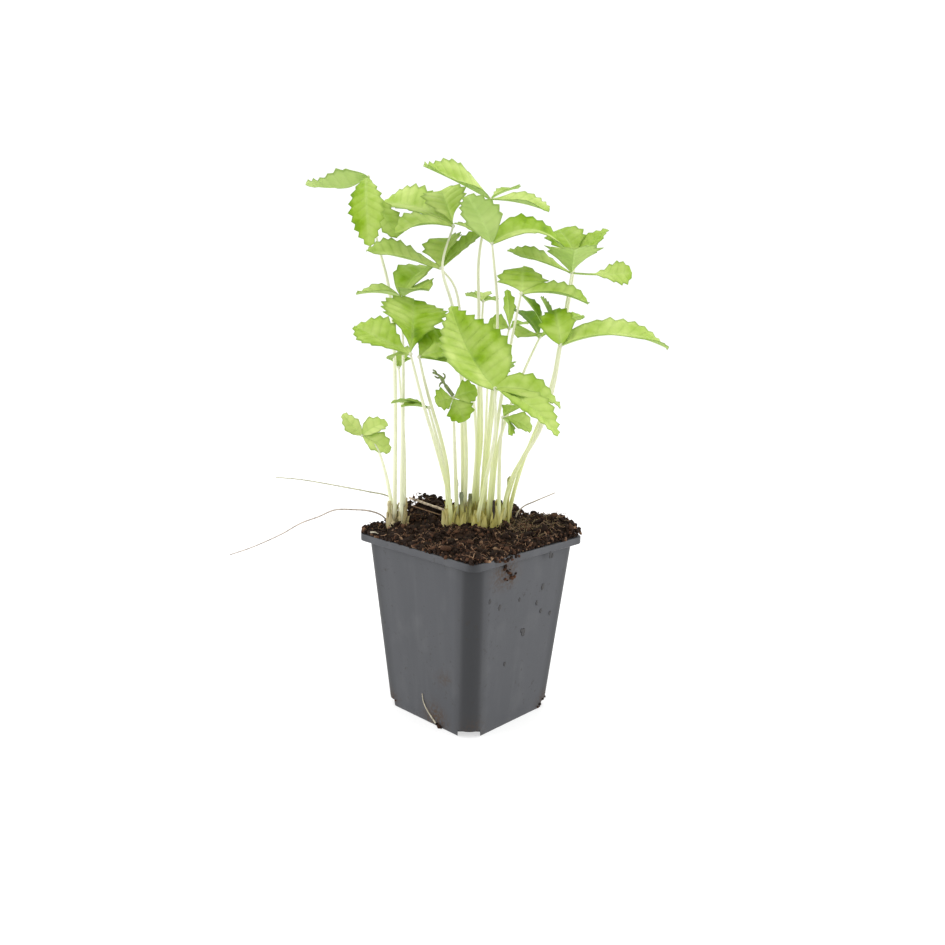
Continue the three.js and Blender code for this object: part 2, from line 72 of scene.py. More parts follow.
# Smears of compost: under the rim on one side, low on another side, and along the foot. Each has its
# place on the pot, its reach and how strong it is.
SMEARS = (
    ((-18, -42, 91), 9, 0.9), ((-13, -41, 86), 5, 0.9), ((-34, -8, 4), 9, 1.0), ((-35, -15, 30), 4, 0.6),
    ((-36, -19, 31), 3, 0.6), ((-30, -33, 3), 8, 0.4), ((29, -33, 4), 7, 0.9), ((-33, 28, 4), 6, 0.7),
)


def square_ring(half, radius, z, corner_steps, side_points=0):
    """Points round a square with rounded corners, and some more along each side."""
    ring = []
    for corner in range(4):
        start = corner * math.pi / 2
        for step in range(1, side_points + 1):
            along = (half - radius) * (2 * step / (side_points + 1) - 1)
            ring.append((
                half * math.cos(start) - along * math.sin(start),
                half * math.sin(start) + along * math.cos(start),
                z,
            ))
        middle = start + math.pi / 4
        across = math.sqrt(2) * (half - radius)
        for step in range(corner_steps + 1):
            angle = start + step / corner_steps * math.pi / 2
            ring.append((
                across * math.cos(middle) + radius * math.cos(angle),
                across * math.sin(middle) + radius * math.sin(angle),
                z,
            ))
    return ring


def loft(rings, start=None, end=None):
    """A skin over rings of equally many points, closed at each end by a point or else by a face."""
    count = len(rings[0])
    points = [p for ring in rings for p in ring]
    faces = []
    for ring in range(len(rings) - 1):
        for i in range(count):
            low, high = ring * count, (ring + 1) * count
            j = (i + 1) % count
            faces.append((low + i, low + j, high + j, high + i))
    last = (len(rings) - 1) * count
    if start is None:
        faces.append(tuple(reversed(range(count))))
    else:
        faces += [(len(points), (i + 1) % count, i) for i in range(count)]
        points.append(start)
    if end is None:
        faces.append(tuple(last + i for i in range(count)))
    else:
        faces += [(len(points), last + i, last + (i + 1) % count) for i in range(count)]
        points.append(end)
    return np.array(points, float), faces


def new_object(name, data):
    made = bpy.data.objects.new(name, data)
    bpy.context.scene.collection.objects.link(made)
    return made


class Shape:
    """Points and faces in millimetres, gathered into one piece, with numbers noted at the points."""

    def __init__(self):
        self.points, self.faces, self.finishes, self.notes, self.count = [], [], [], {}, 0

    def add(self, points, faces, finish=0, **notes):
        points = np.asarray(points, float)
        self.points.append(points)
        self.faces += [tuple(self.count + i for i in face) for face in faces]
        self.finishes += [finish] * len(faces)
        for name in sorted({*notes, *self.notes}):
            earlier = self.notes.setdefault(name, [np.zeros(self.count)])
            earlier.append(np.broadcast_to(notes.get(name, 0.0), len(points)))
        self.count += len(points)

    def build(self, name, skins, replaces=(), turned=False, sharp=40):
        mesh = bpy.data.meshes.new(name)
        mesh.from_pydata((np.concatenate(self.points) * MM).tolist(), [], self.faces)
        for note, values in self.notes.items():
            attribute = mesh.attributes.new(note, "FLOAT", "POINT")
            attribute.data.foreach_set("value", np.concatenate(values).astype(np.float32))
        for skin in skins:
            mesh.materials.append(skin.material)
        mesh.polygons.foreach_set("material_index", self.finishes)
        if turned:
            mesh.transform(Matrix.Rotation(PLANT_TURN, 4, "Z"))
        mesh.validate()
        mesh.shade_smooth()
        mesh.set_sharp_from_angle(angle=math.radians(sharp))
        piece = new_object(name, mesh)
        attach(piece, "root")
        if replaces:
            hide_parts(*replaces)
        return piece


class Wire:
    """One shader socket, so that sums on what varies over a surface are Python expressions."""

    def __init__(self, skin, socket):
        self.skin, self.socket = skin, socket

    def __add__(self, other):
        return self.skin.maths("ADD", self, other)

    def __sub__(self, other):
        return self.skin.maths("SUBTRACT", self, other)

    def __mul__(self, other):
        return self.skin.maths("MULTIPLY", self, other)

    __radd__ = __add__

    def between(self, low, high):
        """0 below low, 1 above high, and smooth between."""
        inputs = {"Value": self, "From Min": low, "From Max": high}
        return self.skin.node("ShaderNodeMapRange", {"interpolation_type": "SMOOTHSTEP"}, inputs)


class Skin:
    """A material made of shader nodes round one Principled shader."""

    def __init__(self, name):
        self.material = bpy.data.materials.new(name)
        self.material.use_nodes = True
        self.tree = self.material.node_tree
        self.shader = self.tree.nodes["Principled BSDF"]
        self.place = self.node("ShaderNodeTexCoord", {}, {}, "Object")

    def set(self, socket, value):
        if isinstance(value, Wire):
            self.tree.links.new(value.socket, socket)
        elif isinstance(value, tuple) and socket.type == "RGBA":
            socket.default_value = (*value, 1)
        else:
            socket.default_value = value

    def node(self, kind, settings, inputs, output=0):
        made = self.tree.nodes.new(kind)
        for name, value in settings.items():
            setattr(made, name, value)
        for name, value in inputs.items():
            self.set(made.inputs[name], value)
        return Wire(self, made.outputs[output])

    def maths(self, operation, *values):
        return self.node("ShaderNodeMath", {"operation": operation}, dict(enumerate(values)))

    def mix(self, factor, first, second):
        inputs = {0: factor, 6: first, 7: second}
        return self.node("ShaderNodeMix", {"data_type": "RGBA"}, inputs, 2)

    def noise(self, size, detail=2.0, stretch=(1, 1, 1)):
        """Soft noise from 0 to 1, with lumps about size millimetres across."""
        place = self.node("ShaderNodeVectorMath", {"operation": "MULTIPLY"}, {0: self.place, 1: stretch})
        inputs = {"Vector": place, "Scale": 1 / (size * MM), "Detail": detail}
        return self.node("ShaderNodeTexNoise", {}, inputs)

    def note(self, name):
        return self.node("ShaderNodeAttribute", {"attribute_name": name}, {}, "Fac")

    def bump(self, height, depth, strength=1.0):
        """Relief depth millimetres high where height runs from 0 to 1."""
        inputs = {"Strength": strength, "Distance": depth * MM, "Height": height}
        return self.node("ShaderNodeBump", {}, inputs)

    def finish(self, **inputs):
        for name, value in inputs.items():
            self.set(self.shader.inputs[name.replace("_", " ")], value)

    def let_light_through(self, share, colour):
        """Mixes in a Translucent shader, as a thin leaf or petiole glows with the light behind it."""
        through = self.node("ShaderNodeBsdfTranslucent", {}, {"Color": colour})
        front = Wire(self, self.shader.outputs[0])
        both = self.node("ShaderNodeMixShader", {}, {0: share, 1: front, 2: through})
        self.tree.links.new(both.socket, self.tree.nodes["Material Output"].inputs["Surface"])


def pot_skin():
    skin = Skin("grey_polypropylene")
    mist = skin.noise(26, 4.0, (1, 1, 0.45))
    fine = skin.noise(0.9, 2.0)
    streaks = skin.noise(5, 3.0, (1, 1, 0.08)).between(0.45, 0.8)
    dirt, corner = skin.note("dirt"), skin.note("corner")
    spots = skin.noise(2.6, 3.0).between(0.60, 0.72) * skin.noise(18, 1.0).between(0.42, 0.62)
    plain = skin.mix(mist, (0.040, 0.042, 0.048), (0.064, 0.066, 0.073))
    film = skin.noise(11, 3.0, (1, 1, 0.6)).between(0.5, 0.75)
    worn = skin.mix(streaks * 0.25 + film * 0.35, plain, (0.080, 0.082, 0.087))
    # Painted shade: the colour darkens into each rounded corner, where the corner note rises.
    corner_shaded = skin.mix(corner, worn, (0.024, 0.025, 0.028))
    spotted = skin.mix(spots * 0.55, corner_shaded, (0.024, 0.021, 0.018))
    smear = dirt * (skin.noise(1.6, 4.0).between(0.32, 0.66))
    skin.finish(
        Base_Color=skin.mix(smear, spotted, (0.058, 0.036, 0.022)),
        Roughness=0.4 + mist * 0.14 + smear * 0.3,
        Specular_IOR_Level=0.32,
        Normal=skin.bump(fine * 0.5 + mist, 0.10, 0.5),
    )
    return skin


def wall_half(z, inset=0):
    """Half the width of the tapered wall at a height, outside or some way in."""
    return BASE_HALF - inset + (WALL_TOP_HALF - BASE_HALF) * z / SKIRT_TOP


def wall_bow(x, y, z):
    """The thin walls are never quite flat: each side bows in by a few tenths of a millimetre."""
    free = math.sin(math.pi * min(max(z / SKIRT_BOTTOM, 0), 1))
    flat = max(0.0, 1 - (min(abs(x), abs(y)) / BOW_REACH) ** 2)
    return BOW * free * flat * (1 + 0.6 * noise.noise(Vector((x, y, z)) / 31))


def pot_piece():
    rows = [(BASE_HALF - 0.9, WALL_RADIUS - 0.9, 0), (BASE_HALF - 0.25, WALL_RADIUS - 0.25, 0.25)]
    rows += [(wall_half(z), WALL_RADIUS, z) for z in (0.9, *np.linspace(4, SKIRT_TOP - 1, 26), SKIRT_TOP)]
    rows += [(RIM_HALF - WALL, RIM_RADIUS - WALL, z) for z in (SKIRT_TOP, SKIRT_BOTTOM + 0.2)]
    rows += [(RIM_HALF - WALL + 0.3, RIM_RADIUS - WALL + 0.3, SKIRT_BOTTOM),
             (RIM_HALF - 0.3, RIM_RADIUS - 0.3, SKIRT_BOTTOM), (RIM_HALF, RIM_RADIUS, SKIRT_BOTTOM + 0.3)]
    for step in range(5):
        angle = step / 4 * math.pi / 2
        inward = RIM_EDGE * (1 - math.cos(angle))
        rows.append((RIM_HALF - inward, RIM_RADIUS - inward, POT_HEIGHT - RIM_EDGE * (1 - math.sin(angle))))
    rows += [(wall_half(POT_HEIGHT, WALL) + 0.3, WALL_RADIUS - WALL + 0.3, POT_HEIGHT),
             (wall_half(POT_HEIGHT, WALL) - 0.1, WALL_RADIUS - WALL, POT_HEIGHT - 0.4),
             (wall_half(FLOOR, WALL), WALL_RADIUS - WALL, FLOOR)]
    rings = [square_ring(half, radius, z, POT_CORNER_STEPS, POT_SIDE_POINTS) for half, radius, z in rows]
    points, faces = loft(rings)

    # Painted shade darkens each rounded corner: how far into the corner each point lies is noted, more softly
    # at the rim, and the skin darkens the colour there.
    corner_shade = []
    for (half, radius, z), ring in zip(rows, rings):
        soft = WALL_CORNER_SHADE if z < SKIRT_BOTTOM else RIM_CORNER_SHADE
        for x, y, _ in ring:
            into = min(abs(x), abs(y)) - (half - radius)
            corner_shade.append(min(max((into + soft) / (2 * soft), 0), 1))
    for point in points:
        x, y, z = point
        side = 0 if abs(x) > abs(y) else 1
        point[side] -= math.copysign(wall_bow(x, y, z), point[side])
    dirt = np.zeros(len(points))
    for place, reach, strength in SMEARS:
        away = np.linalg.norm(points - np.array(place), axis=1)
        dirt = np.maximum(dirt, strength * np.clip(1.4 - away / reach, 0, 1))
    shape = Shape()
    shape.add(points, faces, dirt=dirt, corner=corner_shade)
    piece = shape.build("pot_shell", [pot_skin()], ["pot"], sharp=POT_SHARP)

    # The four drain notches are cut straight through the foot.
    cutter = Shape()
    reach = math.sqrt(2) * (BASE_HALF - WALL_RADIUS) + WALL_RADIUS
    for corner in range(4):
        turn = Matrix.Rotation((corner + 0.5) * math.pi / 2, 3, "Z")
        box = [Vector((reach + sx * NOTCH_REACH, sy * NOTCH_WIDTH / 2, sz * NOTCH_HEIGHT))
               for sx in (-1, 1) for sy in (-1, 1) for sz in (-1, 1)]
        cutter.add([turn @ p for p in box], [
            (0, 1, 3, 2), (4, 6, 7, 5), (0, 4, 5, 1), (2, 3, 7, 6), (0, 2, 6, 4), (1, 5, 7, 3)])
    mesh = bpy.data.meshes.new("notches")
    mesh.from_pydata((np.concatenate(cutter.points) * MM).tolist(), [], cutter.faces)
    notches = new_object("notches", mesh)
    cut = piece.modifiers.new("notches", "BOOLEAN")
    cut.object = notches
    cut.solver = "EXACT"
    bpy.context.view_layer.objects.active = piece
    bpy.ops.object.modifier_apply(modifier=cut.name)
    bpy.data.objects.remove(notches)
    bpy.data.meshes.remove(mesh)
    piece.data.set_sharp_from_angle(angle=math.radians(POT_SHARP))


pot_piece()

# The soil: one block of moist peat compost, heaped above the rim. It is dark and crumbly, with
# lighter wood fibre, bark chips and a few pale root hairs, and it grips every stalk at its foot.

SOIL_GAP = 0.3
SOIL_LIP_HALF = 43.9
SOIL_BASE = 101.4
SOIL_MOUNDS = ((0, 4, 5, 22), (-28, 31, 12, 13), (18, 36, 7, 12), (48, 6, 8.5, 13))
SOIL_RINGS = 58
SOIL_SIDES = (8, 30)
CRUMBS = 2000
CRUMB_SIZES = (0.8, 1.7)
BIG_SHARE = 0.14
SHARD_SHARE = 0.3
CRUMBS_SMALL = 2400
SMALL_SIZES = (0.35, 0.75)
CRUMB_REACH = SOIL_LIP_HALF + 0.3
EDGE_CRUMBS = 1100
EDGE_REACH = (42.6, 44.9)
FIBRES = 260
FIBRE_STEP = 1.1

# Two small banks and a dip, each with its place in the plant's own frame, height and reach.
BANKS = ((-40, -3, 2.6, 40), (-33, 28, 3.2, 30), (60, 3, -3.5, 60))

# A hollow runs along the front of the splinter: its ends in the plant's own frame, depth and spread.
# Loose crumbs stay out of its deep middle. In it lie a dark strand, which is painted shade darkening the
# hollow's bottom, and a pale fibre: route, half thickness and how light each is.
HOLLOW = ((-31, 22.5), (-13, 12), 3.6, 3.2)
HOLLOW_MIDDLE = 2.4
SHADE_STRAND_AND_FIBRE = (
    (((-38, 25, 109.6), (-13, 11, 106.4)), 1.1, 0.0),
    (((-35, 22, 110.6), (-15, 9.5, 107.4)), 0.35, 0.9),
)


def soil_height(x, y):
    """The heap's height at a place in the plant's own frame."""
    rise = sum(high * math.exp(-((x - cx) ** 2 + (y - cy) ** 2) / (2 * spread ** 2))
               for cx, cy, high, spread in SOIL_MOUNDS)
    return SOIL_BASE + rise


def plant_frame(x, y):
    """A place in the pot's frame, told in the plant's own frame."""
    c, s = math.cos(-PLANT_TURN), math.sin(-PLANT_TURN)
    return x * c - y * s, x * s + y * c


def pot_frame(place):
    """A place in the plant's own frame, told in the pot's frame."""
    return Matrix.Rotation(PLANT_TURN, 3, "Z") @ Vector(place)


def hollow_depth(x, y):
    (ax, ay), (bx, by), deep, spread = HOLLOW
    length = math.hypot(bx - ax, by - ay)
    along = ((x - ax) * (bx - ax) + (y - ay) * (by - ay)) / length
    beyond = max(-along, along - length, 0)
    across = ((x - ax) * (by - ay) - (y - ay) * (bx - ax)) / length
    return deep * math.exp(-(beyond ** 2 + (across + 1) ** 2) / (2 * spread ** 2))


def soil_surface(x, y):
    """The crumbly surface at a place in the pot's frame."""
    lumps = noise.fractal(Vector((x, y, 3)) / 9, 1.0, 2.0, 3)
    near, far = noise.voronoi(Vector((x, y, 1)) / 4.6)[0][:2]
    px, py = plant_frame(x, y)
    bank = sum(high * math.exp(-((px - cx) ** 2 + (py - cy) ** 2) / reach) for cx, cy, high, reach in BANKS)
    return soil_height(px, py) + 2.2 * lumps + 1.7 * (far - near) - 0.9 + bank - hollow_depth(px, py)


def soil_skin():
    skin = Skin("peat_compost")
    tint = skin.note("tint")
    grain = skin.noise(0.7, 4.0)
    patches = skin.noise(9, 3.0)
    dark = skin.mix(grain, (0.006, 0.0035, 0.0025), (0.026, 0.014, 0.009))
    bed = skin.mix(patches.between(0.55, 0.8) * 0.5, dark, (0.05, 0.026, 0.015))
    brown = skin.mix(tint.between(0.15, 0.6), bed, (0.085, 0.040, 0.022))
    tan = skin.mix(tint.between(0.6, 0.95), brown, (0.25, 0.155, 0.095))
    skin.finish(
        Base_Color=skin.mix(grain.between(0.55, 0.75) * 0.3, tan, (0.12, 0.07, 0.045)),
        Roughness=0.7 + grain * 0.25,
        Specular_IOR_Level=0.12,
        Normal=skin.bump(grain, 0.35, 0.8),
    )
    return skin


def random_turn(draw):
    axis = Vector((draw.uniform(-1, 1), draw.uniform(-1, 1), draw.uniform(-1, 1))).normalized()
    return Matrix.Rotation(draw.uniform(0, 2 * math.pi), 3, axis)


def lump_form(levels):
    """A plain ball's points and faces."""
    bpy.ops.mesh.primitive_ico_sphere_add(subdivisions=levels, radius=1)
    ball = bpy.context.object
    points = np.array([v.co[:] for v in ball.data.vertices])
    faces = [tuple(p.vertices) for p in ball.data.polygons]
    mesh = ball.data
    bpy.data.objects.remove(ball)
    bpy.data.meshes.remove(mesh)
    return points, faces


SMALL_LUMP, LUMP = lump_form(1), lump_form(2)


def add_lump(shape, form, place, size, draw, **notes):
    """A rough crumb with its own random outline, size given along its three axes."""
    points, faces = form
    shift = Vector((draw.uniform(0, 90), draw.uniform(0, 90), draw.uniform(0, 90)))
    rough = np.array([1 + 0.55 * noise.noise(Vector(p) * 1.1 + shift) for p in points])
    turn = np.array(random_turn(draw))
    shape.add((points * rough[:, None] * np.array(size)) @ turn.T + np.array(place), faces, **notes)


def tube_rings(path, radii, sides):
    """Rings of points round a path, turned as little as they can be from one to the next."""
    path = np.asarray(path, float)
    tangents = np.gradient(path, axis=0)
    tangents /= np.linalg.norm(tangents, axis=1)[:, None]
    normal = np.cross(tangents[0], (0.31, 0.77, 0.55))
    rings = []
    for centre, tangent, radius in zip(path, tangents, radii):
        normal = normal - tangent * normal.dot(tangent)
        normal /= np.linalg.norm(normal)
        side = np.cross(tangent, normal)
        rings.append([centre + radius * (math.cos(a) * normal + math.sin(a) * side)
                      for a in np.arange(sides) * 2 * math.pi / sides])
    return rings


def add_tube(shape, path, radii, sides, finish=0, **notes):
    """A round strand along a path. A note may be one number or one for each point of the path."""
    rings = tube_rings(path, radii, sides)
    points, faces = loft(rings, tuple(path[0]), tuple(path[-1]))
    spread = {}
    for name, values in notes.items():
        along = np.broadcast_to(np.asarray(values, float), len(path))
        spread[name] = np.concatenate([np.repeat(along, sides), along[[0, -1]]])
    shape.add(points, faces, finish, **spread)


def soil_bed(skin):
    """The heap itself, in rings: up the inside of the pot, over its edge, and in over the surface."""
    low, fill, spill = FLOOR + SOIL_GAP, NOTCH_HEIGHT + 2 * SOIL_GAP, POT_HEIGHT + SOIL_GAP
    corner = WALL_RADIUS - WALL - SOIL_GAP
    rings = [square_ring(half, radius, z, *SOIL_SIDES) for half, radius, z in (
        (wall_half(low, WALL) - SOIL_GAP - 1, 17, low),
        (wall_half(fill, WALL) - SOIL_GAP, corner, fill),
        (wall_half(spill, WALL) - SOIL_GAP, corner, spill),
        (SOIL_LIP_HALF - 0.4, RIM_RADIUS - 1.4, spill),
    )]
    for step in range(SOIL_RINGS):
        share = 1 - step / SOIL_RINGS
        half = (SOIL_LIP_HALF - 0.3) * share
        ring = square_ring(half, min(half * 0.9, (RIM_RADIUS + 2) * (2 - share)), 0, *SOIL_SIDES)
        lip = 1 - math.exp(-step / 1.2)
        rings.append([(x, y, spill + max(0.15, (soil_surface(x, y) - spill) * lip)) for x, y, _ in ring])
    shape = Shape()
    points, faces = loft(rings, (0, 0, low), (0, 0, soil_surface(0, 0)))
    shape.add(points, faces, tint=0.0)
    shape.build("soil_bed", [skin], ["soil"], sharp=180)


def scatter_crumbs(crumbs, draw):
    """Loose crumbs all over the heap, the large ones first, and some of each flat as shards."""
    for index in range(CRUMBS + CRUMBS_SMALL):
        x, y = draw.uniform(-CRUMB_REACH, CRUMB_REACH), draw.uniform(-CRUMB_REACH, CRUMB_REACH)
        if hollow_depth(*plant_frame(x, y)) > HOLLOW_MIDDLE:
            continue
        large = index < CRUMBS
        size = draw.uniform(*(CRUMB_SIZES if large else SMALL_SIZES))
        if large and draw.random() < BIG_SHARE:
            size *= draw.uniform(1.3, 1.9)
        tint = draw.random() ** 3 * (0.45 if size > 1.4 else 1)
        shard = draw.random() < SHARD_SHARE
        form = (size, size * (0.42 if shard else 0.8), size * (0.22 if shard else 0.62))
        z = soil_surface(x, y) + size * draw.uniform(-0.1, 0.5)
        add_lump(crumbs, LUMP if size > 1.25 else SMALL_LUMP, (x, y, z), form, draw, tint=tint)


def scatter_edge_crumbs(crumbs, draw):
    """Crumbs heaped along the pot's edge, a few of them over it."""
    around = square_ring(1.0, 0.13, 0, 6, 60)
    for _ in range(EDGE_CRUMBS):
        x, y, _ = around[draw.randrange(len(around))]
        reach = draw.uniform(*EDGE_REACH)
        x, y = reach * x + draw.uniform(-0.5, 0.5), reach * y + draw.uniform(-0.5, 0.5)
        top = max(POT_HEIGHT + 0.4, soil_surface(x * 0.96, y * 0.96) - 0.3)
        size = draw.uniform(0.4, 1.3)
        z = draw.uniform(POT_HEIGHT + 0.3, top + 0.4)
        form = (size, size * 0.75, size * 0.6)
        add_lump(crumbs, SMALL_LUMP if size < 1 else LUMP, (x, y, z), form, draw, tint=draw.random() ** 3)


def scatter_fibres(crumbs, draw):
    """Short bent fibres that lie on the heap. The ends that would pass the rim are left out."""
    for _ in range(FIBRES):
        x, y = draw.uniform(-CRUMB_REACH, CRUMB_REACH), draw.uniform(-CRUMB_REACH, CRUMB_REACH)
        heading, bend = draw.uniform(0, 2 * math.pi), draw.uniform(-0.5, 0.5)
        path = []
        for _ in range(7):
            path.append((x, y, soil_surface(max(-43, min(43, x)), max(-43, min(43, y))) + 0.9))
            x, y = x + FIBRE_STEP * math.cos(heading), y + FIBRE_STEP * math.sin(heading)
            heading += bend + draw.uniform(-0.3, 0.3)
        path = np.array(path) + np.array([(0, 0, draw.uniform(-0.4, 1.3)) for _ in path])
        inside_rim = [p for p in path if max(abs(p[0]), abs(p[1])) < RIM_HALF + 1]
        if len(inside_rim) > 3:
            radii = np.linspace(draw.uniform(0.14, 0.34), 0.1, len(inside_rim))
            add_tube(crumbs, inside_rim, radii, 4, tint=draw.uniform(0.45, 1.0))


def lay_shade_strand_and_fibre(crumbs):
    for route, thick, tint in SHADE_STRAND_AND_FIBRE:
        start, end = (pot_frame(place) for place in route)
        path = np.array([tuple(start.lerp(end, share)) for share in np.linspace(0, 1, 14)])
        uneven = [thick * (1 + 0.5 * noise.noise(Vector((step, thick, 1)))) for step in range(14)]
        add_tube(crumbs, path, uneven, 7, tint=tint)


def soil_piece():
    skin = soil_skin()
    soil_bed(skin)
    draw = random.Random(21)
    crumbs = Shape()
    scatter_crumbs(crumbs, draw)
    scatter_edge_crumbs(crumbs, draw)
    scatter_fibres(crumbs, draw)
    lay_shade_strand_and_fibre(crumbs)
    crumbs.build("soil_crumbs", [skin], sharp=55)


soil_piece()

# The leaves: each is a long, pale, downy stalk that leaves the crown in a papery sheath, with three
# saw-edged leaflets folded a little along their midribs. The blades are thin and glow with the
# light behind them, with sunken veins above and raised, paler veins below.

SINK = 9
STALK_BASE = 1.15
STALK_TOP = 0.5
SHEATH = 1.5
SHEATH_LENGTH = 14
STIPULES = 6
HAIRS = 200
HAIR_LENGTH = 1.0
FLAP_ROWS = 8
FLAP_ACROSS = (-1, -0.5, 0, 0.5, 1)
BLADE = 0.46
TOOTH_SPACING = 4.9
ROWS_PER_TOOTH = 6
COLUMNS = np.array([0, 0.05, 0.12, 0.22, 0.34, 0.47, 0.6, 0.73, 0.86, 1.0])
UP = (0, 0, 1)

# The curled remains on the young leaf's twig: where each starts, and its route from there.
WITHERED_CURLS = (
    (12, ((0, 0, 0), (-1.6, -0.5, -0.8), (-2.2, 0, -2.4))),
    (14, ((0, 0, 0), (1.2, 0, 1.0), (1.2, 0.3, 2.4), (0.2, 0.2, 3.2))),
    (16, ((0, 0, 0), (-1.8, 0.2, -0.4), (-3.4, 0, 0.6))),
    (20, ((0, 0, 0), (-0.6, 0, 1.4), (-2.0, 0, 2.2))),
)


def blade(tip, width, arch=2, face=UP, **more):
    """One leaflet of the table below. Its face is the way its upper side looks, and among more are
    its twist, its fold, where it is widest, and how pale it is, as one number or one for each half.
    The paleness is partly the leaflet's own tone and partly painted light and shade, the two halves
    of a folded leaflet made lighter and darker as they would catch the light."""
    return dict(tip=tip, width=width, arch=arch, face=face, **more)
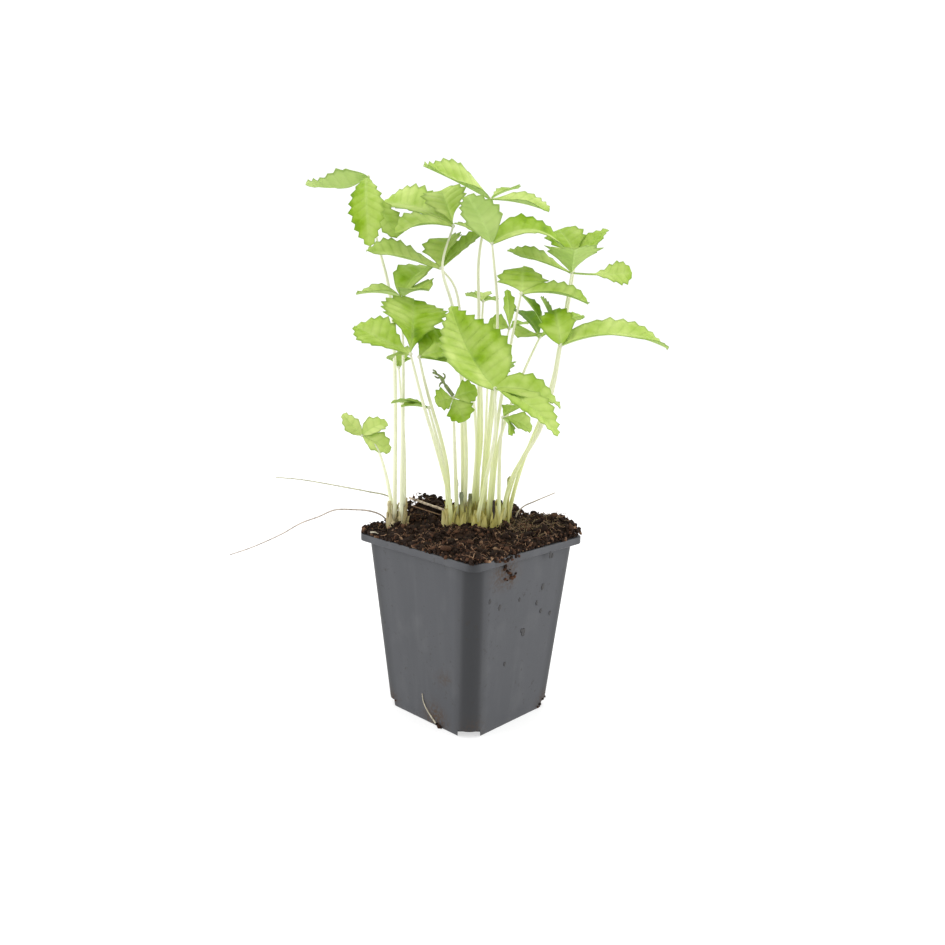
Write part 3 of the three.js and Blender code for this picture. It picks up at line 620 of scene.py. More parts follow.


# A stalk is listed from its foot in the soil, given by x and y, up to the joint of its leaflets, and
# its fair says how pale it is: on the stalk its own pallor together with painted light, on the sheath its own
# tan.
LEAVES = {
    "leaf_top_left": dict(fair=0.75, leaflets=[
        blade((-91.5, 9, 286.5), 24, -3.5, (0, 0.2, 1), widest=0.4, pale=0.8),
        blade((-54.5, -15, 253), 15.5, 10, (-0.05, -0.8, 0.6), fold=8, widest=0.66, pale=0.32),
        blade((-43, 10, 260), 16, -2, (0, -0.4, 0.9), widest=0.78, pale=0.6),
    ], stalk=[(-43, 3), (-44, 10, 192), (-47.5, 14, 232), (-56, 16, 265), (-59, 14, 291.5)]),
    "leaf_upper_left": dict(fair=0.5, leaflets=[
        blade((-43, -2, 261), 24, 3, (0, -0.4, 1), pale=0.6),
        blade((-56, 46, 282), 25, 4.5, (0, -0.5, 1), twist=-20, widest=0.6),
        blade((-20, 22, 286.5), 22, face=(0, -1, 0.3), widest=0.7, pale=0.6),
    ], stalk=[(-4, 2), (-4, 4, 150), (-12, 0, 222), (-18, -5, 244), (-13, 5, 266)]),
    "leaf_middle_left": dict(fair=0.5, leaflets=[
        blade((-58, -3, 252), 26, 1, (0, -0.4, 1), pale=0.75),
        blade((-15, 16, 261), 22, 3, (-0.5, -0.7, 0.5), pale=0.65),
        blade((4, 13, 266), 10, 1, (0, -0.4, 1), widest=0.5),
    ], stalk=[(-5, 6.5), (-6, 8, 150), (-11, 6, 233), (-19, 2, 244)]),
    "leaf_left": dict(fair=0.7, leaflets=[
        blade((-64, 2, 229.5), 17, face=(0, -0.2, 1), widest=0.45, pale=0.7),
        blade((-22.5, 25, 246), 24, 4.5, (-0.5, -0.6, 0.6), widest=0.48, pale=0.4),
        blade((-25, -6, 232), 24, face=(0, -0.3, 1)),
    ], stalk=[(-39, -1), (-38.5, 0, 192), (-40, 5, 228.5)]),
    "leaf_front_left": dict(leaflets=[
        blade((-60.5, -28, 213), 23, 0, (0, -0.6, 1), widest=0.65, pale=0.35),
        blade((-33, 1, 227), 32, face=(0.2, -0.75, 0.65), fold=10, widest=0.7, pale=(0.3, 0.14)),
        blade((-42, -25, 197.5), 12, face=(0, -0.5, 0.9), fold=8, widest=0.55, pale=0.8),
    ], stalk=[(-11, -5), (-13, -9, 125), (-19, -18, 150), (-26, -27, 175), (-32, -35, 200)]),
    "leaf_inner_left": dict(leaflets=[
        blade((-8, -14, 202), 35, face=(0, -0.65, 0.75), fold=8, widest=0.55, pale=0.24),
        blade((-12, -31, 202), 10, 1, (0, -0.7, 0.7), pale=0.3),
        blade((-22, -12, 206), 12, 1, (0.3, -0.6, 0.75), pale=0.2),
    ], stalk=[(-12.5, 4), (-14, 4, 135), (-17.5, 2, 152), (-24, -4, 175), (-26.5, -18, 188),
              (-28, -30, 198.5)]),
    "leaf_top": dict(leaflets=[
        blade((-28.5, -5, 294.5), 32, 0.5, (0.3, -0.4, 0.9), widest=0.45, pale=0.6),
        blade((37.5, 5, 274.5), 22, 1.5, (-0.1, -0.3, 1), pale=0.6),
        blade((22, 32, 290), 10, 1, (-0.2, -0.15, 1), pale=0.6),
    ], stalk=[(3, 6), (3, 8, 160), (1.6, 6, 222), (1, 3, 250), (6.3, 10, 281)]),
    "leaf_upper": dict(leaflets=[
        blade((-5.5, -34, 276), 19.5, face=(0, 0.5, 0.9), widest=0.5, pale=0.7),
        blade((44, -4, 255.5), 21, 8.5, (0.1, -0.6, 1), widest=0.43, pale=(0.15, 0.7)),
        blade((-8, 10, 268), 19, face=(0, -0.4, 0.9), pale=0.6),
    ], stalk=[(6, 2), (8.5, 0, 160), (11.5, -4, 219), (7.5, -15, 256)]),
    "leaf_upper_right": dict(leaflets=[
        blade((15.5, -8, 253), 16, 0.5, (0.1, -0.45, 1), pale=0.7),
        blade((47.5, -34, 252), 25, face=(0, 0.3, 1), pale=0.8),
        blade((81, -5, 243.5), 12, -1, (0, 0.1, 1), twist=85, fold=8, widest=0.8),
    ], stalk=[(18, 8), (23, 4, 132), (38, -12, 170), (44, -11, 205), (49, -10, 242.5)]),
    "leaf_far_right": dict(leaflets=[
        blade((70, 14, 267), 12, 0, (-0.3, -0.5, 0.9), widest=0.5),
        blade((44, 22, 267), 20, face=(0.1, -0.8, 0.5), fold=8, pale=0.4),
        blade((58, 38, 260), 14, 3, pale=0.6),
    ], stalk=[(21, 11), (27, 12, 135), (40, 5, 175), (47, 0, 212), (53, 8, 252)]),
    "leaf_middle": dict(leaflets=[
        blade((24, -8, 245), 23, 1, (0, -0.8, 0.55), fold=-9, widest=0.6),
        blade((57, -20, 226.5), 22, 3, (0.05, -0.35, 1), pale=0.4),
        blade((35, -12, 215), 11, 1, (0.8, -0.3, 0.5), pale=-0.1),
    ], stalk=[(9, -2), (12.5, -8, 160), (17.5, -17, 200), (22.5, -25, 231)]),
    "leaf_middle_right": dict(leaflets=[
        blade((22, 8, 223), 16, face=(0.6, -0.6, 0.6), pale=-0.2),
        blade((22, -18, 209), 16, face=(0, -0.4, 1), pale=0.3),
        blade((60, 30, 221), 13, face=(0, -0.4, 0.9)),
    ], stalk=[(11, 3), (14, 2, 150), (26, -4, 190), (34, -5, 209)]),
    "leaf_right": dict(leaflets=[
        blade((40, -21, 223.5), 16, face=(-0.1, -0.9, 0.3), widest=0.45, pale=0.1),
        blade((95, -38, 205.5), 27, 6.5, (0.1, -0.3, 1), widest=0.4, pale=0.6),
        blade((34, -4, 230), 7, 1, (1, 0, 0.3), pale=0.4),
    ], stalk=[(17, 2), (21, -3, 131), (35, -22, 163), (40, -31, 185), (42, -40, 206)]),
    "leaf_front": dict(leaflets=[
        blade((-12.5, -32, 224), 39, -5, (0.4, -0.8, 0.5), fold=20, widest=0.38, pale=(0.55, 0.27)),
        blade((42.5, -45, 176), 20, 4, (0.15, -0.5, 0.9), widest=0.35, pale=0.45),
        blade((39, -72, 165.5), 17.5, 4, (0.3, -0.5, 0.85), widest=0.48),
    ], stalk=[(3, -7), (6.5, -14, 130), (11, -30, 160), (10, -50, 185)]),
    "leaf_low_left": dict(leaflets=[
        blade((-44, -10, 173), 8, pale=0.3),
        blade((-40, -3, 173), 7, 1, pale=0.3),
        blade((-38, -17, 172), 7, 1, pale=0.3),
    ], stalk=[(-13, 0), (-15, -4, 135), (-24, -10, 171)]),
    "leaf_young": dict(fair=0.25, leaflets=[
        blade((-20, -19, 174.5), 11, 1, (-0.2, -0.9, 0.3), pale=0.3),
        blade((1.5, -14, 181), 12, 1, (0, -0.9, 0.4), pale=0.35),
        blade((-4.5, -18, 165), 13, 1, (0.1, -0.95, 0.2), pale=0.25),
    ], stalk=[(-8, -1), (-9, -4, 130), (-11, -15, 177)],
       twig=[(-11, -15, 178), (-15.5, -15, 184), (-18, -14, 188), (-22, -14, 190)]),
    "leaf_back_left": dict(fair=0.6, leaflets=[
        blade((-77, 38, 161.5), 9, 1, (-0.4, -0.6, 0.5), widest=0.5, pale=1.0),
        blade((-51.5, 45, 155.5), 13, face=(-0.2, -0.7, 0.7), widest=0.5, pale=0.9),
        blade((-49, 36, 139.5), 12, face=(0.3, -0.8, 0.5), widest=0.55, pale=0.8),
    ], stalk=[(-44, 7.5), (-51, 25, 131), (-58, 35, 144), (-66, 40, 148.5)]),
    "leaf_small_left": dict(fair=0.8, leaflets=[
        blade((-50, 26, 195), 8, 1),
        blade((-36, 28, 195), 8, 1),
        blade((-42, 32, 197), 8, 1),
    ], stalk=[(-38, 9), (-39.5, 19, 150), (-43, 24, 190)]),
    "leaf_small_middle": dict(leaflets=[
        blade((-6, 36, 231), 13, 1, pale=0.7),
        blade((12, 36, 228.5), 11, 1, pale=0.7),
        blade((4, 46, 233), 9, 1, pale=0.7),
    ], stalk=[(0, 9), (4.5, 14, 150), (3, 25, 200), (4, 33, 228)]),
    "leaf_small_right": dict(leaflets=[
        blade((17, 26, 234.5), 6.5, 1, (0.4, -0.8, 0.1), pale=0.3),
        blade((7, 28, 215), 14, 1, (0, -0.6, 0.8)),
        blade((30, 34, 216), 10, 1),
    ], stalk=[(7, 8), (9, 14, 150), (15, 22, 195), (19, 26, 213)]),
    "leaf_low_right": dict(leaflets=[
        blade((30, -22, 161), 12, face=(0.3, -0.6, 0.8), pale=0.4),
        blade((18, -30, 160), 8, face=(0.9, -0.3, 0.3), pale=0.3),
        blade((24, -12, 173), 10, 1, pale=0.4),
    ], stalk=[(15, -3.5), (14.5, -8, 145), (15, -22, 168)]),
    "leaf_back": dict(fair=0.5, leaflets=[
        blade((-38, 60, 202), 24, 5, (0, 0.2, 1), pale=0.3),
        blade((-20, 80, 198), 26, 6, (0, 0.2, 1), pale=0.3),
        blade((2, 66, 202), 24, 5, (0, 0.2, 1), pale=0.3),
    ], stalk=[(0, 15), (2, 24, 150), (-4, 37, 182), (-18, 44, 200)]),
    "leaf_back_right": dict(leaflets=[
        blade((-1, 56, 194), 16, 4, pale=0.4),
        blade((14, 70, 182), 24, 6, (0, 0.2, 1), pale=0.4),
        blade((26, 54, 176), 14, 3, pale=0.4),
    ], stalk=[(5, 11.5), (7, 19, 150), (7.5, 32, 175), (8, 38, 184)]),
}


# Each crown has how bleached its sheaths are, and its groups of sheaths with their place, number,
# spread and height.
CROWNS = {
    "main_crown": (0.1, ((4, -1, 30, 5.5, 11), (9, -2, 16, 4, 10), (-1, -2, 16, 4, 11), (-6, -2, 8, 3, 9))),
    "inner_crown": (0.35, ((-12, -1, 14, 3, 11), (-12.5, 3, 8, 2.5, 10), (-8, 3, 8, 2.5, 10))),
    "left_crown": (0.8, ((-42, 2, 20, 4, 10), (-39, 6, 8, 3, 9))),
}


def leaf_skin():
    skin = Skin("leaf_blade")
    pale, rib, vein, under, edge = (skin.note(n) for n in ("pale", "rib", "vein", "under", "edge"))
    mottle = skin.noise(5, 3.0)
    cells = skin.noise(0.8, 2.0)
    # The pale note carries each leaflet's own tone together with painted light and shade, and broad noise
    # patches vary the tone and add painted shade.
    shade = pale + skin.noise(15, 1.0) * 1.5 + mottle * 0.8 - 1.15
    darker = skin.mix(shade.between(-0.35, 0.15), (0.13, 0.26, 0.004), (0.29, 0.47, 0.010))
    shaded_tone = skin.mix(shade, darker, (0.66, 0.76, 0.26))
    # Painted shade in the creases by the side veins.
    crease_shaded = skin.mix(vein * 0.22, shaded_tone, (0.17, 0.32, 0.004))
    ribbed = skin.mix(rib * 0.5, crease_shaded, (0.62, 0.76, 0.26))
    lower = skin.mix(under * 0.5, ribbed, (0.50, 0.66, 0.27))
    colour = skin.mix(edge.between(0.82, 1.0) * 0.5, lower, (0.13, 0.25, 0.012))
    skin.finish(
        Base_Color=colour,
        Roughness=0.45 + mottle * 0.12 + under * 0.2,
        Specular_IOR_Level=0.25,
        Normal=skin.bump(cells * 0.6 - vein * 0.4, 0.15, 0.7),
    )
    skin.let_light_through(0.3, skin.mix(0.4, colour, (0.45, 0.68, 0.05)))
    return skin


def stalk_skin():
    skin = Skin("leaf_stalk")
    height, sheath, fair = skin.note("height"), skin.note("sheath"), skin.note("fair")
    mottle = skin.noise(3, 3.0, (1, 1, 0.2))
    # The stalk grows paler upwards and with its fair note: partly its own pallor, partly painted light where
    # backlit stalks look whitish.
    green = skin.mix(height.between(0.0, 0.25), (0.66, 0.66, 0.24), (0.81, 0.85, 0.49))
    upper = skin.mix(height.between(0.2, 0.7), green, (0.80, 0.81, 0.62))
    light = skin.mix(fair, upper, (0.86, 0.86, 0.74))
    lined = skin.mix(mottle.between(0.35, 0.7) * 0.4, light, (0.90, 0.92, 0.72))
    papery = skin.mix(mottle.between(0.3, 0.7), (0.46, 0.40, 0.08), (0.78, 0.72, 0.25))
    tan = skin.mix(fair, papery, (0.50, 0.40, 0.22))
    colour = skin.mix(sheath, lined, tan)
    skin.finish(
        Base_Color=colour,
        Roughness=0.5,
        Specular_IOR_Level=0.25,
        Normal=skin.bump(mottle, 0.08, 0.5),
    )
    skin.let_light_through(0.35, colour)
    return skin


def strand_skin(name, colour, foot=None):
    skin = Skin(name + "_fibre")
    grain = skin.noise(1.4, 4.0, (1, 1, 0.25))
    darker = tuple(0.5 * c for c in colour)
    plain = skin.mix(grain.between(0.3, 0.7), darker, colour)
    skin.finish(
        Base_Color=skin.mix(skin.note("along").between(0.55, 0.9), foot, plain) if foot else plain,
        Roughness=0.7,
        Normal=skin.bump(grain, 0.15, 0.7),
    )
    return skin


def blend(first, second, low, high, at):
    """From first where at is low to second where it is high."""
    return (high - at) / (high - low) * first + (at - low) / (high - low) * second


def curve_points(route, count):
    """Points evenly spaced along a smooth curve through the places of a route."""
    knots = [np.array(p, float) for p in route]
    knots = [2 * knots[0] - knots[1]] + knots + [2 * knots[-1] - knots[-2]]
    fine = []
    for a, b, c, d in zip(knots, knots[1:], knots[2:], knots[3:]):
        tb = math.sqrt(np.linalg.norm(b - a))
        tc = tb + math.sqrt(np.linalg.norm(c - b))
        td = tc + math.sqrt(np.linalg.norm(d - c))
        for t in np.linspace(tb, tc, 24, endpoint=False):
            ab, bc, cd = blend(a, b, 0, tb, t), blend(b, c, tb, tc, t), blend(c, d, tc, td, t)
            fine.append(blend(blend(ab, bc, 0, tc, t), blend(bc, cd, tb, td, t), tb, tc, t))
    fine = np.array(fine + [knots[-2]])
    steps = np.concatenate([[0], np.cumsum(np.linalg.norm(np.diff(fine, axis=0), axis=1))])
    even = np.linspace(0, steps[-1], count)
    return np.stack([np.interp(even, steps, fine[:, i]) for i in range(3)], 1), steps[-1]


def sheet_faces(rows, wide):
    """The faces of a thin closed sheet: one side's grid of points, the other side's, and their rim."""
    index = lambda row, column: row * wide + column
    shift = index(rows + 1, 0)
    faces = [(index(r, c), index(r, c + 1), index(r + 1, c + 1), index(r + 1, c))
             for r in range(rows) for c in range(wide - 1)]
    faces += [tuple(shift + i for i in reversed(f)) for f in faces]
    rim = [index(r, 0) for r in range(rows + 1)] + [index(rows, c) for c in range(1, wide)]
    rim += [index(r, wide - 1) for r in range(rows - 1, -1, -1)]
    rim += [index(0, c) for c in range(wide - 2, 0, -1)]
    return faces + [(a, b, shift + b, shift + a) for a, b in zip(rim, rim[1:] + rim[:1])]


def leaf_half(s, widest):
    """How wide half a leaflet is at s, from 0 at its stalk to 1 at its tip, for a width of 1."""
    bias = math.log(0.5) / math.log(widest)
    return 0.5 * math.sin(math.pi * min(max(s, 0), 1) ** bias) ** 0.85


def turned(vector, axis, angle):
    return (vector * math.cos(angle) + np.cross(axis, vector) * math.sin(angle)
            + axis * axis.dot(vector) * (1 - math.cos(angle)))


def add_leaflet(shape, joint, draw, tip, width, arch, face, twist=0, fold=16, widest=0.62, pale=0.5):
    """One thin blade on the rib from the joint to its tip, its side veins running out to the teeth."""
    start = np.array(joint, float)
    chord = np.array(tip, float) - start
    length = np.linalg.norm(chord)
    along = chord / length
    up = np.array(face, float)
    up -= along * up.dot(along)
    up /= np.linalg.norm(up)
    teeth = int(min(max(round(length / TOOTH_SPACING), 4), 10))
    lift = math.radians(fold)
    bulge = 0.022 * width
    tooth = min(0.08 * width + 0.6, 2.8)
    wave = 0.03 * width
    tones = pale if isinstance(pale, tuple) else (pale, pale)
    phase = draw.uniform(0, 6)
    scale = [draw.uniform(0.75, 1.25) for _ in range(2 * teeth + 4)]

    def place(s, across, level):
        rise = 4 * arch * s * (1 - s)
        tangent = along + up * 4 * arch * (1 - 2 * s) / length
        tangent /= np.linalg.norm(tangent)
        normal = up - tangent * up.dot(tangent)
        normal = turned(normal / np.linalg.norm(normal), tangent, math.radians(twist * s))
        side = np.cross(tangent, normal)
        return (start + chord * s + up * rise + side * across * math.cos(lift)
                + normal * (abs(across) * math.sin(lift) + level / math.cos(lift)))

    rows = teeth * ROWS_PER_TOOTH
    columns = np.concatenate([-COLUMNS[:0:-1], COLUMNS])
    upper, lower, pales, ribs, veins, edges = [], [], [], [], [], []
    for row in range(rows + 1):
        base = row / rows
        count = base * teeth
        part = count - math.floor(count)
        for column in columns:
            out = abs(column)
            s = base + 0.13 * math.sin(math.pi * base) * out ** 0.8
            s = min(s, 1.0)
            size = scale[(int(count) + (teeth + 2 if column < 0 else 0)) % len(scale)]
            saw = (part / 0.68 if part < 0.68 else (1 - part) / 0.32) ** 1.15
            taper = min(max((base - 0.14) / 0.2, 0), 1) * min(1.0, (1 - base) / 0.05 + 0.15)
            reach = width * leaf_half(s, widest) + tooth * size * saw * taper * out ** 3
            reach = max(reach, 0.35 * (1 - base))
            across = column * reach
            between = math.sin(math.pi * part) ** 0.8 if 0 < part < 1 else 0.0
            swell = math.sin(math.pi * min(out / 0.93, 1.0)) ** 0.7 if out < 0.93 else 0.0
            quilt = bulge * between * swell * min(1.0, 4 * base, 4 * (1 - base))
            ripple = wave * math.sin(phase + 9 * base + (2 if column < 0 else 0)) * out ** 2
            thick = BLADE / 2 * (1 - 0.35 * out)
            rib = 0.42 * (1 - 0.75 * base) * math.exp(-(across / 0.45) ** 2)
            level = quilt + ripple
            upper.append(place(s, across, level + thick - 0.35 * rib))
            lower.append(place(s, across, level - thick - rib))
            pales.append(tones[0] if column < 0 else tones[1])
            ribs.append(math.exp(-(across / 0.8) ** 2) * (1 - 0.6 * base))
            veins.append((1 - between) ** 2 * (1 - out * 0.4) * (1 if 0.02 < base < 0.98 else 0))
            edges.append(out)
    pales, ribs, veins, edges = (np.array(v * 2) for v in (pales, ribs, veins, edges))
    under = np.repeat((0.0, 1.0), len(upper))
    shape.add(upper + lower, sheet_faces(rows, len(columns)), pale=pales, rib=ribs, vein=veins, under=under,
              edge=edges)


def stalk_route(stalk):
    """The whole route of a stalk, upright where it stands in the soil."""
    x, y = stalk[0]
    top = soil_height(x, y)
    return [(x, y, top - SINK), (x, y, top + 1), *stalk[1:]]


def add_hairs(shape, path, radii, draw, **notes):
    """Fine spreading hairs along a stalk, each a slim spike rooted in it."""
    for _ in range(HAIRS):
        at = draw.uniform(0.1, 0.98) * (len(path) - 1)
        low = int(at)
        centre = path[low] + (path[low + 1] - path[low]) * (at - low)
        tangent = path[low + 1] - path[low]
        tangent /= np.linalg.norm(tangent)
        out = np.array([draw.gauss(0, 1) for _ in range(3)])
        out -= tangent * out.dot(tangent)
        out /= np.linalg.norm(out)
        root = centre + out * radii[low] * 0.6
        reach = radii[low] + HAIR_LENGTH * draw.uniform(0.6, 1.2)
        point = centre + out * reach + tangent * HAIR_LENGTH * 0.3
        side = np.cross(tangent, out)
        corners = [root + 0.045 * (tangent * math.cos(a) + side * math.sin(a)) for a in (0, 2.1, 4.2)]
        shape.add(corners + [point], [(0, 1, 2), (0, 3, 1), (1, 3, 2), (2, 3, 0)], 1, **notes)


def add_flap(shape, foot, heading, width, high, lean, finish=1, **notes):
    """One papery stipule: a pointed scale that hugs the stalk's foot and leans outwards at its tip."""
    out = np.array((math.cos(heading), math.sin(heading), 0))
    side = np.array((-out[1], out[0], 0))
    outer, inner = [], []
    for share in np.linspace(0, 1, FLAP_ROWS + 1):
        half = 0.5 * width * (1 - share ** 1.8) * min(1, 0.6 + 2 * share)
        for across in FLAP_ACROSS:
            wrap = 1.35 * (1 - 0.45 * across * across)
            place = (np.array(foot) + out * (wrap + lean * share ** 2) + side * across * half
                     + np.array((0, 0, high * share)))
            outer.append(place + out * 0.12)
            inner.append(place - out * 0.12)
    shape.add(outer + inner, sheet_faces(FLAP_ROWS, len(FLAP_ACROSS)), finish, **notes)


def add_withered_twig(shape, twig):
    """A dry twig, thickest where its curled remains hang on."""
    path, _ = curve_points(twig, 24)
    radii = [1.0 if i < 10 else 0.55 + 0.5 * math.exp(-((i - 14) / 2.2) ** 2) for i in range(24)]
    add_tube(shape, path, radii, 8, 2)
    for start, curl in WITHERED_CURLS:
        curled, _ = curve_points([path[start] + np.array(step) for step in curl], 12)
        add_tube(shape, curled, np.linspace(0.7, 0.35, 12), 6, 2)


def leaf_piece(name, stalk, leaflets, skins, draw, twig=None, fair=0.0):
    shape = Shape()
    path, length = curve_points(stalk_route(stalk), 46)
    at = np.linspace(0, length, len(path))
    sheath = np.clip(1 - at / (SINK + SHEATH_LENGTH), 0, None)
    radii = STALK_BASE + (STALK_TOP - STALK_BASE) * (at / length) ** 2 + (SHEATH - STALK_BASE) * sheath
    tan = np.clip(sheath * 1.6 - 0.25, 0, 0.75)
    add_tube(shape, path, radii, 10, 1, height=at / length, sheath=tan, fair=fair)
    x, y = stalk[0]
    foot = (x, y, soil_height(x, y) - 1.5)
    for _ in range(STIPULES):
        spans = ((0, 2 * math.pi), (2.4, 4.0), (5, 15), (0.3, 2.6))
        heading, wide, tall, lean = (draw.uniform(*span) for span in spans)
        add_flap(shape, foot, heading, wide, tall, lean, height=0.0, sheath=draw.uniform(0.6, 1.0), fair=fair)
    joint = stalk[-1]
    points, faces = LUMP
    shape.add(points + np.array(joint), faces, 1, height=1.0, sheath=0.0, fair=fair)
    for leaflet in leaflets:
        add_leaflet(shape, joint, draw, **leaflet)
    if twig:
        add_withered_twig(shape, twig)
    add_hairs(shape, path, radii, draw, height=1.0, sheath=0.0, fair=fair)
    shape.build(name + "_fine", skins, [name], turned=True, sharp=50)


def crown_piece(name, rows, skins, draw, fair):
    """A crown's outer sheaths, short broad scales that overlap round the feet of the stalks."""
    shape = Shape()
    for x, y, count, spread, high in rows:
        for _ in range(count):
            heading = draw.uniform(0, 2 * math.pi)
            reach = spread * draw.uniform(0.7, 1.1)
            px, py = x + reach * math.cos(heading), y + reach * math.sin(heading)
            foot = (px, py, soil_height(px, py) - 1.5)
            spans = ((-0.7, 0.7), (3.2, 5.4), (0.6, 1.1), (-1.0, 0.8))
            swing, wide, tall, lean = (draw.uniform(*span) for span in spans)
            add_flap(shape, foot, heading + swing, wide, high * tall, lean, finish=0, height=0.0,
                     sheath=draw.uniform(0.75, 1.0), fair=fair)
    shape.build(name, skins, turned=True, sharp=50)


leaf_skins = [leaf_skin(), stalk_skin(), strand_skin("withered_twig", (0.24, 0.30, 0.11))]
for number, (name, leaf) in enumerate(LEAVES.items()):
    leaf_piece(name, skins=leaf_skins, draw=random.Random(number), **leaf)
for number, (name, (fair, rows)) in enumerate(CROWNS.items()):
    crown_piece(name, rows, leaf_skins[1:2], random.Random(41 + number), fair)

# The loose ends: stubs of old leaf stalks at the crowns, one of them hooked, a dark dry stick, three
# thin roots that reach out over the pot's edge, and a pale splinter half sunk in the compost.

STRANDS = {
    "stub_left": ([(-8, 4.5), (-9, 5.5, 129.5)], 1.0, (0.17, 0.20, 0.10)),
    "stub_middle": ([(-5, -3.5), (-6, -2, 124)], 1.1, (0.22, 0.25, 0.14)),
    "stub_centre": ([(-1, -2), (-1, 0, 123)], 1.0, (0.15, 0.16, 0.06)),
    "stub_crown": ([(-46.3, 3), (-46, 4, 117)], 1.1, (0.62, 0.55, 0.31)),
    "stub_hooked": ([(20.5, 4), (20, 3, 126), (20.5, 2, 132), (22.5, 1.5, 131)], 0.8, (0.49, 0.50, 0.23)),
    "dry_stick": ([(12, -5), (12, -5, 120.5)], 0.8, (0.03, 0.018, 0.011)),
    "root_long": ([
        (-47, 6), (-50, 5, 108), (-56, 3, 111), (-66, 2, 112), (-76, 0, 112), (-85, 0, 108), (-95, 0, 104),
        (-105, 0, 98), (-115, 0, 93), (-124, 0, 89), (-135, 0, 85)], 0.5, (0.50, 0.42, 0.35)),
    "root_upper": ([
        (-40, 13.5), (-47, 18, 116), (-60, 19, 119), (-73, 20, 121), (-85, 20, 123), (-99, 20, 125),
        (-113, 20, 126)], 0.5, (0.55, 0.54, 0.36)),
    "root_right": ([(26, 18), (30, 20, 112), (36, 20, 115), (48, 22, 120)], 0.5, (0.50, 0.42, 0.32)),
}
STUB_CUT = (0.46, 0.44, 0.14)
SPLINTER_ENDS = ((-37, 30, 113.6), (-14, 15, 109.4))


def strand_piece(name, route, radius, colour, draw):
    shape = Shape()
    path, length = curve_points(stalk_route(route), max(24, 9 * len(route)))
    steps = len(path)
    shares = np.linspace(0, 1, steps)
    waver = [noise.noise(Vector((i * 0.6, radius, draw.uniform(0, 0.1)))) for i in range(steps)]
    rough = 1 + 0.14 * np.array(waver)
    taper = np.linspace(1.0, 0.55 if name.startswith("root") else 0.92, steps)
    foot = None
    if name.startswith("stub"):
        taper = taper + 0.25 * np.exp(-((shares - 0.93) / 0.05) ** 2)
        foot = STUB_CUT
    add_tube(shape, path, radius * rough * taper, 9, along=shares)
    shape.build(name + "_fine", [strand_skin(name, colour, foot)], [name], turned=True, sharp=50)


for number, (name, (route, radius, colour)) in enumerate(STRANDS.items()):
    strand_piece(name, route, radius, colour, random.Random(100 + number))


def splinter_piece():
    start, end = (Vector(place) for place in SPLINTER_ENDS)
    along = (end - start).normalized()
    side = along.cross(Vector((0, 0, 1))).normalized()
    up = side.cross(along)
    rings = []
    for step in range(19):
        share = step / 18
        wide = min(1, 6 * share + 0.3, 6 * (1 - share) + 0.2)
        wide *= 1 + 0.2 * noise.noise(Vector((share * 9, 0, 4)))
        centre = start.lerp(end, share) + up * 0.15 * noise.noise(Vector((share * 6, 2, 0)))
        rings.append([centre + side * wide * x + up * 0.6 * y for x, y in
                      ((-1, -0.8), (0, -1), (1, -0.7), (1, 0.6), (0.3, 1), (-0.5, 0.8), (-1, 0.7))])
    points, faces = loft([[tuple(p) for p in ring] for ring in rings])
    shape = Shape()
    shape.add(points, faces)
    shape.build("splinter_fine", [strand_skin("splinter", (0.56, 0.45, 0.33))], ["splinter"],
                turned=True, sharp=30)


splinter_piece()

# Fine, dry, brown-green strands lie thick on the heap to the right of the main crown.
TUFT_PLACE = (33, -1)
TUFT_SPREAD = (11, 9)
TUFT_REACH = 39
TUFT_STRANDS = 260
TUFT_STEP = 0.9


def tuft_piece():
    draw = random.Random(21)
    tuft = Shape()
    for _ in range(TUFT_STRANDS):
        across, away = (draw.gauss(*spread) for spread in zip(TUFT_PLACE, TUFT_SPREAD))
        x, y, _ = pot_frame((across, away, 0))
        if max(abs(x), abs(y)) > TUFT_REACH:
            continue
        heading, lift, path = draw.uniform(0, 2 * math.pi), draw.uniform(0, 0.3), []
        for step in range(5):
            path.append((x, y, soil_surface(x, y) + 0.9 + lift * step))
            x, y = x + TUFT_STEP * math.cos(heading), y + TUFT_STEP * math.sin(heading)
            heading += draw.uniform(-0.6, 0.6)
        add_tube(tuft, path, np.linspace(draw.uniform(0.16, 0.26), 0.1, 5), 4)
    tuft.build("soil_tuft", [strand_skin("dry_tuft", (0.20, 0.135, 0.062))], sharp=180)


tuft_piece()

# Compost on the pot: crumbs that hang over the rim and cling below it, dry dark splashes on the
# walls, grains at the foot, and pale root fibres stuck low on the left side and at the rim.

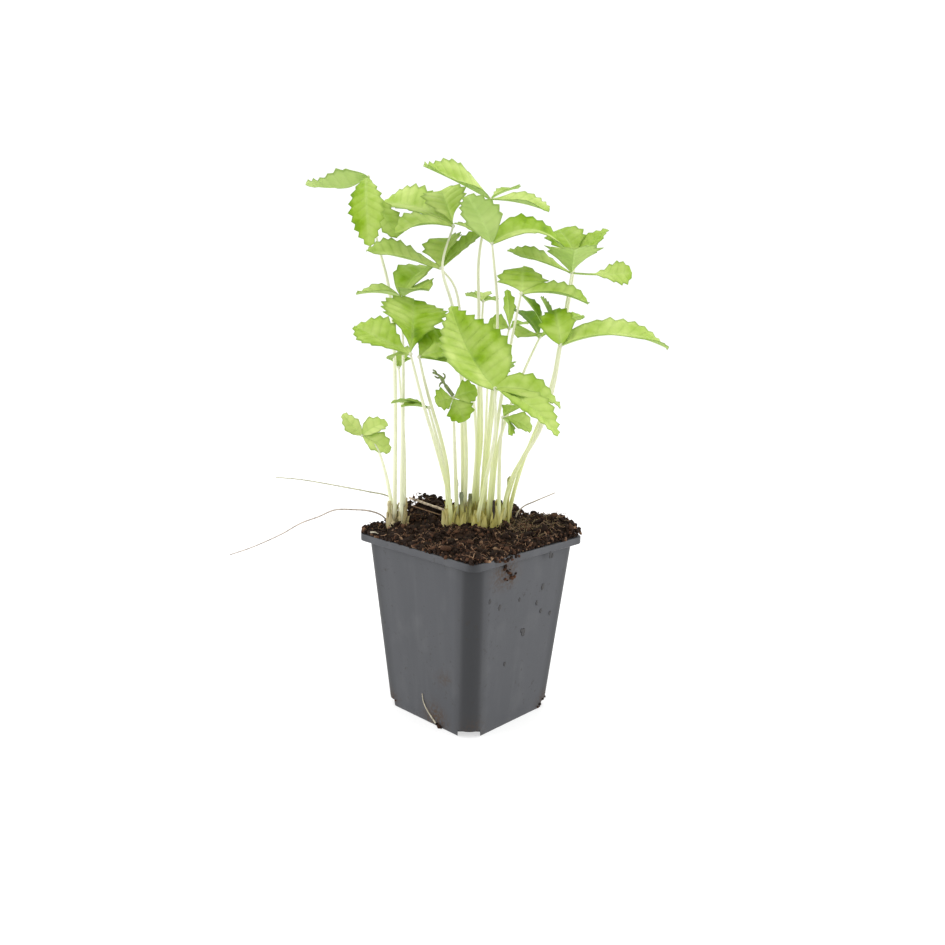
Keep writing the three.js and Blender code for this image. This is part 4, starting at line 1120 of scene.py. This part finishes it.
# Each crumb has its place on the pot, its size and how light it is, and each splash its place and size.
STUCK_CRUMBS = (
    (-29, -45, 99.4, 1.2, 0.1), (-26.5, -45.2, 98.8, 1.0, 0.5), (-24.5, -45, 99.3, 1.4, 0.1),
    (-22.5, -45.1, 98, 1.1, 0.4), (-20.5, -45, 98.6, 1.4, 0.2), (-18, -45.1, 99.2, 1.3, 0.1),
    (-16.5, -45, 97.9, 0.9, 0.5), (-14, -45, 99.4, 1.1, 0.2), (-11.5, -45, 98.9, 0.9, 0.4),
    (-21.5, -44.6, 95.8, 1.1, 0.1), (-19.6, -43, 94.2, 1.3, 0.1), (-18.6, -42, 92.6, 1.1, 0.4),
    (-16.6, -41.9, 91.2, 1.0, 0.1), (-15.2, -41.8, 89.8, 1.2, 0.5), (-13.4, -41.6, 88.6, 1.0, 0.2),
    (-12.6, -41.4, 86.7, 1.3, 0.4), (-10.2, -41.4, 86.9, 1.0, 0.6), (-9.4, -41.4, 88.3, 0.7, 0.1),
    (-17.6, -41.5, 87.0, 0.9, 0.5), (-16.0, -41.4, 86.0, 0.6, 0.2), (-14.4, -41.6, 91.6, 0.6, 0.3),
    (-33.8, -11.4, 0.9, 1.5, 0.3), (-33.9, -9.4, 1.6, 1.0, 0.1), (-33.8, -13, 0.8, 0.9, 0.1),
    (26.4, -33.9, 5.0, 0.9, 0.1), (24.0, -33.8, 2.6, 1.1, 0.1), (22.6, -33.8, 1.2, 0.8, 0.4),
    (29.4, -32.8, 5.2, 1.0, 0.2), (-33.9, 24.4, 3.8, 0.7, 0.5), (-33.8, 25.8, 5.2, 0.6, 0.7),
)
SPLASHES = (
    (14.6, -45, 94.4, 1.3), (16.4, -45, 93.8, 0.9), (15.2, -40.2, 75.4, 1.2), (-27.5, -40.3, 76.8, 0.9),
    (-19.2, -39.8, 71.5, 1.3), (-3.5, -39.9, 72.3, 0.8), (11.4, -39.5, 67, 0.9), (15.8, -39, 61.3, 1.0),
    (24.2, -38.7, 58.1, 0.9), (2.6, -38.2, 52.2, 1.5), (-10.5, -36.9, 37.6, 0.9), (1.0, -38.3, 53.6, 0.8),
)
SPLASH_FORM = (1.15, 1.15, 1.5)
SPLASH_THICK = 0.13
SPLASH_LEAN = (WALL_TOP_HALF - BASE_HALF) / POT_HEIGHT
STUCK_FIBRES = (
    ((-34.9, 1.2, 16), (-34.7, 0.4, 11.5), (-34.3, -2.2, 7.4), (-34.1, -5.8, 4.2), (-33.9, -9.6, 1.2)),
    ((-44.4, 27, 102.5), (-46, 28, 103.4), (-47.5, 30, 103.2)),
)


def stuck_compost():
    draw = random.Random(5)
    crumbs = Shape()
    for x, y, z, size, tint in STUCK_CRUMBS:
        form = (size, size * draw.uniform(0.55, 0.85), size * draw.uniform(0.5, 0.8))
        add_lump(crumbs, LUMP, (x, y, z), form, draw, tint=tint)
    crumbs.build("pot_crumbs", [soil_skin()], sharp=55)

    splashes = Shape()
    points, faces = LUMP
    for x, y, z, size in SPLASHES:
        side = 0 if abs(x) > abs(y) else 1
        thin = [size * stretch for stretch in SPLASH_FORM]
        thin[side] = SPLASH_THICK
        rough = np.array([1 + 0.5 * noise.noise(Vector(p) * 1.3 + Vector((x, y, z))) for p in points])
        flat = points * rough[:, None] * np.array(thin)
        flat[:, side] += wall_bow(x, y, z) - flat[:, 2] * SPLASH_LEAN
        splashes.add(flat + np.array((x, y, z)), faces)
    splashes.build("pot_splashes", [strand_skin("dry_splash", (0.042, 0.041, 0.042))], sharp=180)

    fibres = Shape()
    for route in STUCK_FIBRES:
        path, _ = curve_points(route, 12)
        add_tube(fibres, path, np.linspace(0.26, 0.52, 12), 6)
    fibres.build("stuck_fibres", [strand_skin("stuck_fibre", (0.52, 0.47, 0.36))], sharp=180)


stuck_compost()

# The stage: a plain pale floor, soft light from large panels on both sides and above, and a camera
# a little above the rim that looks over one corner of the pot.

CAMERA_PLACE = (0, -0.463, 0.217)
CAMERA_DOWN = math.radians(10.07)
CAMERA_ROLL = math.radians(1.22)
CAMERA_LENS = 32.57
LIGHTS = {
    "panel_left": ((-1.1, -0.15, 0.55), 1.1, 7),
    "panel_right": ((1.1, -0.15, 0.55), 1.1, 7),
    "panel_top": ((0, 0.1, 1.5), 1.6, 7),
}
LIGHT_AIM = (0, 0, 0.14)
WORLD_LIGHT = 1.07
CARD_HALF = 4


def stage_piece():
    mesh = bpy.data.meshes.new("floor")
    corners = [(x * CARD_HALF, y * CARD_HALF, 0) for x, y in ((-1, -1), (1, -1), (1, 1), (-1, 1))]
    mesh.from_pydata(corners, [], [(0, 1, 2, 3)])
    skin = Skin("floor_card")
    skin.finish(
        Base_Color=(0.45, 0.45, 0.45),
        Roughness=0.8,
        Specular_IOR_Level=0.2,
        Emission_Color=(1.0, 1.0, 1.0),
        Emission_Strength=0.6,
    )
    mesh.materials.append(skin.material)
    floor = new_object("floor", mesh)


stage_piece()
turn = Matrix.Rotation(PLANT_TURN, 4, "Z")
for name, (place, size, power) in LIGHTS.items():
    panel = bpy.data.lights.new(name, "AREA")
    panel.shape, panel.size, panel.energy = "SQUARE", size, power
    lamp = new_object(name, panel)
    aim = Vector(LIGHT_AIM) - Vector(place)
    lamp.matrix_world = turn @ Matrix.Translation(place) @ aim.to_track_quat("-Z", "Y").to_matrix().to_4x4()

world = bpy.data.worlds.new("studio")
world.use_nodes = True
world.node_tree.nodes["Background"].inputs["Color"].default_value = (1, 1, 1, 1)
world.node_tree.nodes["Background"].inputs["Strength"].default_value = WORLD_LIGHT
bpy.context.scene.world = world
bpy.context.scene.view_settings.view_transform = "Standard"

lens = bpy.data.cameras.new("camera")
lens.lens, lens.sensor_width = CAMERA_LENS, 36
lens.clip_start, lens.clip_end = 0.01, 50
camera = new_object("camera", lens)
level = turn @ Matrix.Translation(CAMERA_PLACE) @ Matrix.Rotation(math.pi / 2 - CAMERA_DOWN, 4, "X")
camera.matrix_world = level @ Matrix.Rotation(CAMERA_ROLL, 4, "Z")
bpy.context.scene.camera = camera
